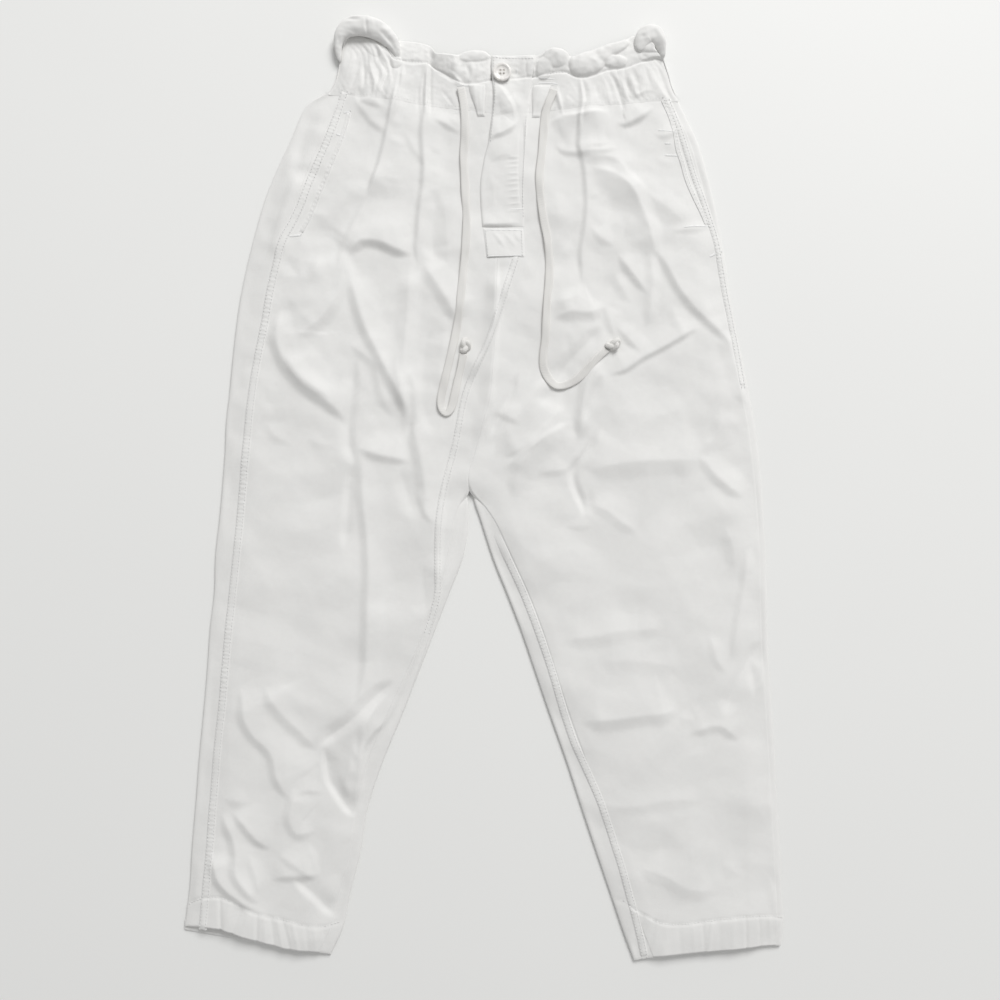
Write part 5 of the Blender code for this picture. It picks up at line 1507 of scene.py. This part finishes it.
# Bar tacks: middle, turn in degrees, length, width, and the surface that carries each.
Tack = namedtuple("Tack", "x y turn length width level")
TACKS = rows_of(
    Tack,
    (-142.5, 383, 5, 6, 2, "legs"), (-148, 358, -22, 10, 2, "legs"),
    (-194, 254, 5, 13, 2.6, "legs"), (188, 363, -4, 18, 1.6, "legs"), (190, 350, 0, 7, 1.8, "legs"),
    (194, 338, 0, 15, 2, "legs"), (239, 236, 28, 15, 2.4, "legs"), (218, 263.5, 5, 26, 1.8, "legs"),
    (-12, 409.8, 3, 17, 2, "waist"), (65, 413.2, -3, 20, 2, "waist"),
    (64, 417.4, -2, 19, 1.6, "waist"), (-27, 382, 0, 10, 1.6, "waist"),
    (-24, 410, 6, 9, 1.6, "waist"), (72.5, 411.5, 5, 8, 1.6, "waist"),
    (20.5, 260, 0, 37, 1.8, "fly"), (21.5, 232.8, 2, 36, 1.6, "fly"),
    (33.5, 281.5, 0, 14, 1.6, "fly"), (34, 425, 0, 2.2, 9, "fly"),
)


def bar_tacks(name):
    """Bar tacks: each a rounded bar of close stitches; its height is a half circle across, ribbed
    along, and it sinks at its rim."""
    u, v = np.meshgrid(np.linspace(-1, 1, 41), np.linspace(-1, 1, 9))
    all_points, all_quads = [], []
    for k, tack in enumerate(TACKS):
        turn = math.radians(tack.turn)
        lx, ly = u * tack.length / 2, v * tack.width / 2
        x = tack.x + lx * math.cos(turn) - ly * math.sin(turn)
        y = tack.y + lx * math.sin(turn) + ly * math.cos(turn)
        if tack.level == "legs":
            base = cloth_top(x.ravel(), y.ravel()).reshape(x.shape) + 0.2
        elif tack.level == "waist":
            base = waist_height(x, y)
        else:
            base = fly_height(x, y, FLAP if tack.y > 266 else FLY_END)
        body = np.sqrt(np.clip(1 - v ** 2, 0, 1)) * np.sqrt(np.clip(1 - u ** 8, 0, 1))
        ribs = 0.8 + 0.2 * np.cos(math.pi * lx / 0.55)
        z = base - 0.35 + 0.7 * body * ribs
        all_points.append(np.dstack((x, y, z)).reshape(-1, 3))
        all_quads.append(grid_quads(*x.shape, first=k * x.size))
    made = mesh_object(name, np.vstack(all_points), np.vstack(all_quads), (), thread())
    return add_piece(made)


# ---------------------------------------------------------------- stage
def floor_material():
    """Plain pale board: a faint cloudy change of tone."""
    return clouded_material("pale_board", {"Roughness": 0.55, "Specular IOR Level": 0.3},
                            bpy.context.scene.trousers_finishes.floor, (0.985, 1.015), (0.0, 1.0),
                            2.2)[0]


AIM = np.array((0.0165, -0.0178, 0.0))      # what the camera looks at, m
FLOOR_HALF, FLOOR_LEVEL = 3.0, -0.0003      # half the board's side and its height, m
LAMP_AZIMUTH, LAMP_HEIGHT = math.radians(66), math.radians(38)
LAMP_AWAY, LAMP_SIDE = 6.0, 2.6             # the lamp's distance and the side of its square, m


def stage_object(name, data):
    """An object of the stage, linked to the scene."""
    made = bpy.data.objects.new(name, data)
    bpy.context.scene.collection.objects.link(made)
    return made


class TROUSERS_OT_stage(bpy.types.Operator):
    """Adds the camera, the pale floor and the soft light."""

    bl_idname = "trousers.stage"
    bl_label = "Stage"

    def execute(self, context):
        sizes = context.scene.trousers_stage
        scene = context.scene
        camera = bpy.data.cameras.new("view")
        camera.lens, camera.sensor_width = sizes.lens, 36.0
        camera.clip_start, camera.clip_end = 0.05, 50.0
        seen = stage_object("view", camera)
        lean = sizes.view_tilt
        seen.location = AIM + sizes.view_distance * np.array((0.0, -math.sin(lean), math.cos(lean)))
        seen.rotation_euler = (lean, 0.0, 0.0)
        scene.camera = seen

        mesh = bpy.data.meshes.new("floor")
        corners = [(x * FLOOR_HALF, y * FLOOR_HALF, FLOOR_LEVEL)
                   for x, y in ((-1, -1), (1, -1), (1, 1), (-1, 1))]
        mesh.from_pydata(corners, [], [(0, 1, 2, 3)])
        mesh.materials.append(floor_material())
        stage_object("floor", mesh)

        lamp = bpy.data.lights.new("window", "AREA")
        lamp.shape, lamp.size, lamp.size_y = "RECTANGLE", LAMP_SIDE, LAMP_SIDE
        lamp.energy = sizes.key_power
        window = stage_object("window", lamp)
        flat = math.cos(LAMP_HEIGHT)
        window.location = LAMP_AWAY * np.array((math.cos(LAMP_AZIMUTH) * flat,
                                                math.sin(LAMP_AZIMUTH) * flat,
                                                math.sin(LAMP_HEIGHT)))
        window.rotation_euler = (math.pi / 2 - LAMP_HEIGHT, 0.0, LAMP_AZIMUTH + math.pi / 2)

        world = bpy.data.worlds.new("sky") if scene.world is None else scene.world
        scene.world = world
        world.use_nodes = True
        sky = world.node_tree.nodes["Background"]
        sky.inputs["Color"].default_value = (1.0, 1.0, 1.0, 1.0)
        sky.inputs["Strength"].default_value = sizes.sky
        scene.view_settings.view_transform = "Standard"
        return {"FINISHED"}


class TROUSERS_OT_drawstrings(bpy.types.Operator):
    """Lays both drawstring ends over the front, each to its knot."""

    bl_idname = "trousers.drawstrings"
    bl_label = "Drawstrings"

    def execute(self, context):
        drawstring("drawstring_right", ROUTE_RIGHT, KNOT_RIGHT, 1.0)
        drawstring("drawstring_left", ROUTE_LEFT, KNOT_LEFT, 2.6)
        return {"FINISHED"}


class TROUSERS_OT_legs(bpy.types.Operator):
    """Builds the four leg panels with their folds and hems."""

    bl_idname = "trousers.legs"
    bl_label = "Leg panels"

    def execute(self, context):
        for side, stations, bow, word in ((-1, LEG_RIGHT, HEM_BOW_RIGHT, "right"),
                                          (1, LEG_LEFT, HEM_BOW_LEFT, "left")):
            front = front_panel(side, stations, bow, f"leg_front_{word}")
            back = back_panel(side, stations, bow, f"leg_back_{word}")
        return {"FINISHED"}


class TROUSERS_OT_seams(bpy.types.Operator):
    """Adds the felled seams and the pocket edges."""

    bl_idname = "trousers.seams"
    bl_label = "Seams"

    def execute(self, context):
        for seed, seam in enumerate(SEAMS, 1):
            seam_band(seam.name, seam.places, seam.width, seam.raised, front_level, seam.pucker, seed,
                      seam.nodes, seam.columns, seam.fade)
        return {"FINISHED"}


class TROUSERS_OT_waist(bpy.types.Operator):
    """Builds the casing and the paperbag frill with its curls."""

    bl_idname = "trousers.waist"
    bl_label = "Waist"

    def execute(self, context):
        for name, rows, low, high, x_from, x_to, rolled, under, flat in (
                ("casing_front_right", WAIST_RIGHT, "foot", "top", -161, 15.8, (0.5, 0, 0, 0), 1.6,
                 (0.190, 0.050)),
                ("casing_front_left", WAIST_LEFT, "foot", "top", 16.2, 201, (0.5, 0, 0, 0), 1.6,
                 (0.195, 0.045)),
                ("frill_front_right", WAIST_RIGHT, "top", "edge", -160.5, 7, (0, 3.0, 2.0, 1.0), 0.3,
                 (0.190, 0.020)),
                ("frill_front_left", WAIST_LEFT, "top", "edge", 50, 200, (0, 3.0, 1.0, 2.0), 0.3,
                 (0.160, 0.027))):
            made = waist_panel(name, rows, low, high, x_from, x_to, rolled, under)
        back = back_waist_panel("casing_back", "foot", "top", 41)
        frill = back_waist_panel("frill_back", "top", "edge", 43)
        for curl in CURLS:
            curl_of_cloth(*curl)
        return {"FINISHED"}


# The frill's two curls: middle line with heights, half widths and half heights along it, and the
# direction in which the upper side climbs, in radians from +X.
CURLS = (
    ("frill_curl_right", ((-149.3, 436, 4.5), (-150.6, 444, 5.6), (-150.8, 453, 6.8), (-148.2, 462, 8.0),
                          (-141.0, 468.8, 8.8), (-132, 471.3, 9.2), (-121.7, 470.8, 9.2),
                          (-111.4, 467.4, 9.2), (-101.5, 461.0, 8.8), (-93.6, 452.8, 7.8),
                          (-90.2, 444.4, 6.8), (-89.6, 437, 6.0)),
     (2.8, 3.6, 4.8, 7.2, 9.4, 9.8, 10.2, 10.0, 9.0, 7.4, 5.0, 3.0),
     (2.6, 3.2, 4.2, 5.2, 5.8, 6.0, 6.0, 5.8, 5.3, 4.4, 3.4, 2.4), 1.2),
    ("frill_curl_left", ((160.5, 444, 8.0), (162.5, 453, 8.6), (168, 460.5, 9.2), (175.5, 460.5, 9.4),
                         (181.5, 453.5, 8.6), (184.2, 445, 7.0), (185.2, 439, 6)),
     (4.6, 7.6, 10.4, 10.6, 7.4, 4.2, 2.6), (4.0, 5.0, 5.8, 5.8, 5.2, 4.0, 3.0), 0.6),
)
# Pocket edges, from the waist down.
POCKET_RIGHT = (
    (-139, 385), (-144, 366), (-151, 345), (-160, 323), (-168, 303), (-179, 276), (-189, 256),
)
POCKET_LEFT = (
    (184, 398), (192, 380), (197, 362), (200, 345), (205, 330), (210, 312), (217, 295), (225, 278),
    (231, 264),
)
# Seams: line, width, how far they stand up, how strongly they pucker, columns, over how far each
# end rises out of the cloth, and the CAD nodes they stand for.
Seam = namedtuple("Seam", "name places width raised pucker columns fade nodes",
                  defaults=(13, (5, 5), ()))
SEAMS = (
    Seam("side_seam_right", SIDE_SEAM_RIGHT, 9.0, SEAM_RAISE, 0.17),
    Seam("side_seam_left", SIDE_SEAM_LEFT, 7.0, SEAM_RAISE, 0.17),
    Seam("crotch_seam", CROTCH_SEAM, 8.0, SEAM_RAISE, 0.08, fade=(5, 60)),
    Seam("inseam_left", INSEAM_LEFT, 8.0, SEAM_RAISE, 0.14, fade=(40, 5)),
    Seam("pocket_edge_right", POCKET_RIGHT, 5.0, 1.0, 0.20, 11, nodes=("pocket_edge_right",)),
    Seam("pocket_edge_left", POCKET_LEFT, 5.0, 1.0, 0.22, 11, nodes=("pocket_edge_left",)),
)


class TROUSERS_OT_fly(bpy.types.Operator):
    """Builds the fly flap with its waist tab, its stitched end, the button and the belt loops."""

    bl_idname = "trousers.fly"
    bl_label = "Fly, button and loops"

    def execute(self, context):
        flap = fly_panel("fly_flap", FLAP)
        end = fly_panel("fly_end", FLY_END)
        add_piece(button_object(), ("button",))
        for loop in LOOPS:
            belt_loop(loop)
        return {"FINISHED"}


class TROUSERS_OT_stitches(bpy.types.Operator):
    """Adds the rows of stitches and the bar tacks."""

    bl_idname = "trousers.stitches"
    bl_label = "Stitches"

    def execute(self, context):
        leg = front_level
        band = SEAM_RAISE - 0.1
        rows = []
        stitched = (SIDE_SEAM_RIGHT, SIDE_SEAM_LEFT, CROTCH_SEAM[:-2], INSEAM_LEFT[1:])
        for seam, places in zip(SEAMS, stitched):
            for side in (-1, 1):
                offset = side * (seam.width / 2 - SEAM_ROW_INSET)
                rows.append(stitch_places(places, leg, band, offset))
        for places in (POCKET_RIGHT, POCKET_LEFT):
            rows.append(stitch_places(places, leg, band, 1.2))
        stitches("seam_stitches", rows)
        rows = [stitch_places(HEM_STITCH_RIGHT, leg, 0.15), stitch_places(HEM_STITCH_LEFT, leg, 0.15)]
        stitches("hem_stitches", rows)
        rows = []
        for table, x_from, x_to in ((WAIST_RIGHT, -100, -52), (WAIST_LEFT, 66, 92)):
            x = np.arange(x_from, x_to, 6.0)
            places = np.column_stack((x, waist_line(table, x, "top")))
            rows.append(stitch_places(places, waist_height, 0.3))
        for table, x_from, x_to in ((WAIST_RIGHT, -150, 4), (WAIST_LEFT, 50, 186)):
            x = np.arange(x_from, x_to, 6.0)
            places = np.column_stack((x, waist_line(table, x, "foot") + 2.2))
            rows.append(stitch_places(places, waist_height, 0.0))
        stitches("waist_stitches", rows, 0.26)

        def fly(x, y):
            """Height of the flap."""
            return fly_height(x, y, FLAP)

        def end(x, y):
            """Height of the box below it."""
            return fly_height(x, y, FLY_END)

        rows = [stitch_places(((43.5, 378), (42, 345), (40.5, 318), (40, 300), (40.5, 275)), fly, 0.25),
                stitch_places(((10, 436), (10.5, 418), (11.5, 400), (9.5, 378), (7, 352)), fly, 0.25),
                stitch_places(((10, 438.5), (30, 438), (50, 437)), fly, 0.25),
                stitch_places(((1.5, 259), (4, 234)), end, 0.25),
                stitch_places(((38.5, 259), (39.5, 234)), end, 0.25)]
        stitches("fly_stitches", rows)
        bar_tacks("bar_tacks")
        return {"FINISHED"}


OPERATORS = (TROUSERS_OT_stage, TROUSERS_OT_drawstrings, TROUSERS_OT_legs, TROUSERS_OT_seams,
             TROUSERS_OT_waist, TROUSERS_OT_fly, TROUSERS_OT_stitches)


class TROUSERS_PT_panel(bpy.types.Panel):
    """Lists the trousers' sizes, finishes and making steps."""

    bl_idname = "TROUSERS_PT_panel"
    bl_label = "Trousers"
    bl_space_type = "VIEW_3D"
    bl_region_type = "UI"
    bl_category = "Trousers"

    def draw(self, context):
        for group in (context.scene.trousers_cloth, context.scene.trousers_finishes,
                      context.scene.trousers_stage):
            box = self.layout.box()
            for field in group.bl_rna.properties:
                if not field.is_readonly and field.identifier != "name":
                    box.prop(group, field.identifier)
        for operator in OPERATORS:
            self.layout.operator(operator.bl_idname)


CLASSES = (ClothSizes, Finishes, StageSizes, *OPERATORS, TROUSERS_PT_panel)


def register():
    """Registers every class and hangs the three groups of settings on the scene."""
    for cls in CLASSES:
        bpy.utils.register_class(cls)
    bpy.types.Scene.trousers_cloth = PointerProperty(type=ClothSizes)
    bpy.types.Scene.trousers_finishes = PointerProperty(type=Finishes)
    bpy.types.Scene.trousers_stage = PointerProperty(type=StageSizes)


def unregister():
    """Takes the settings and the classes away again."""
    for field in ("trousers_cloth", "trousers_finishes", "trousers_stage"):
        delattr(bpy.types.Scene, field)
    for cls in reversed(CLASSES):
        bpy.utils.unregister_class(cls)


def main():
    """Runs every making step in order."""
    register()
    for operator in OPERATORS:
        group, step = operator.bl_idname.split(".")
        getattr(getattr(bpy.ops, group), step)()


if __name__ == "__main__":
    main()
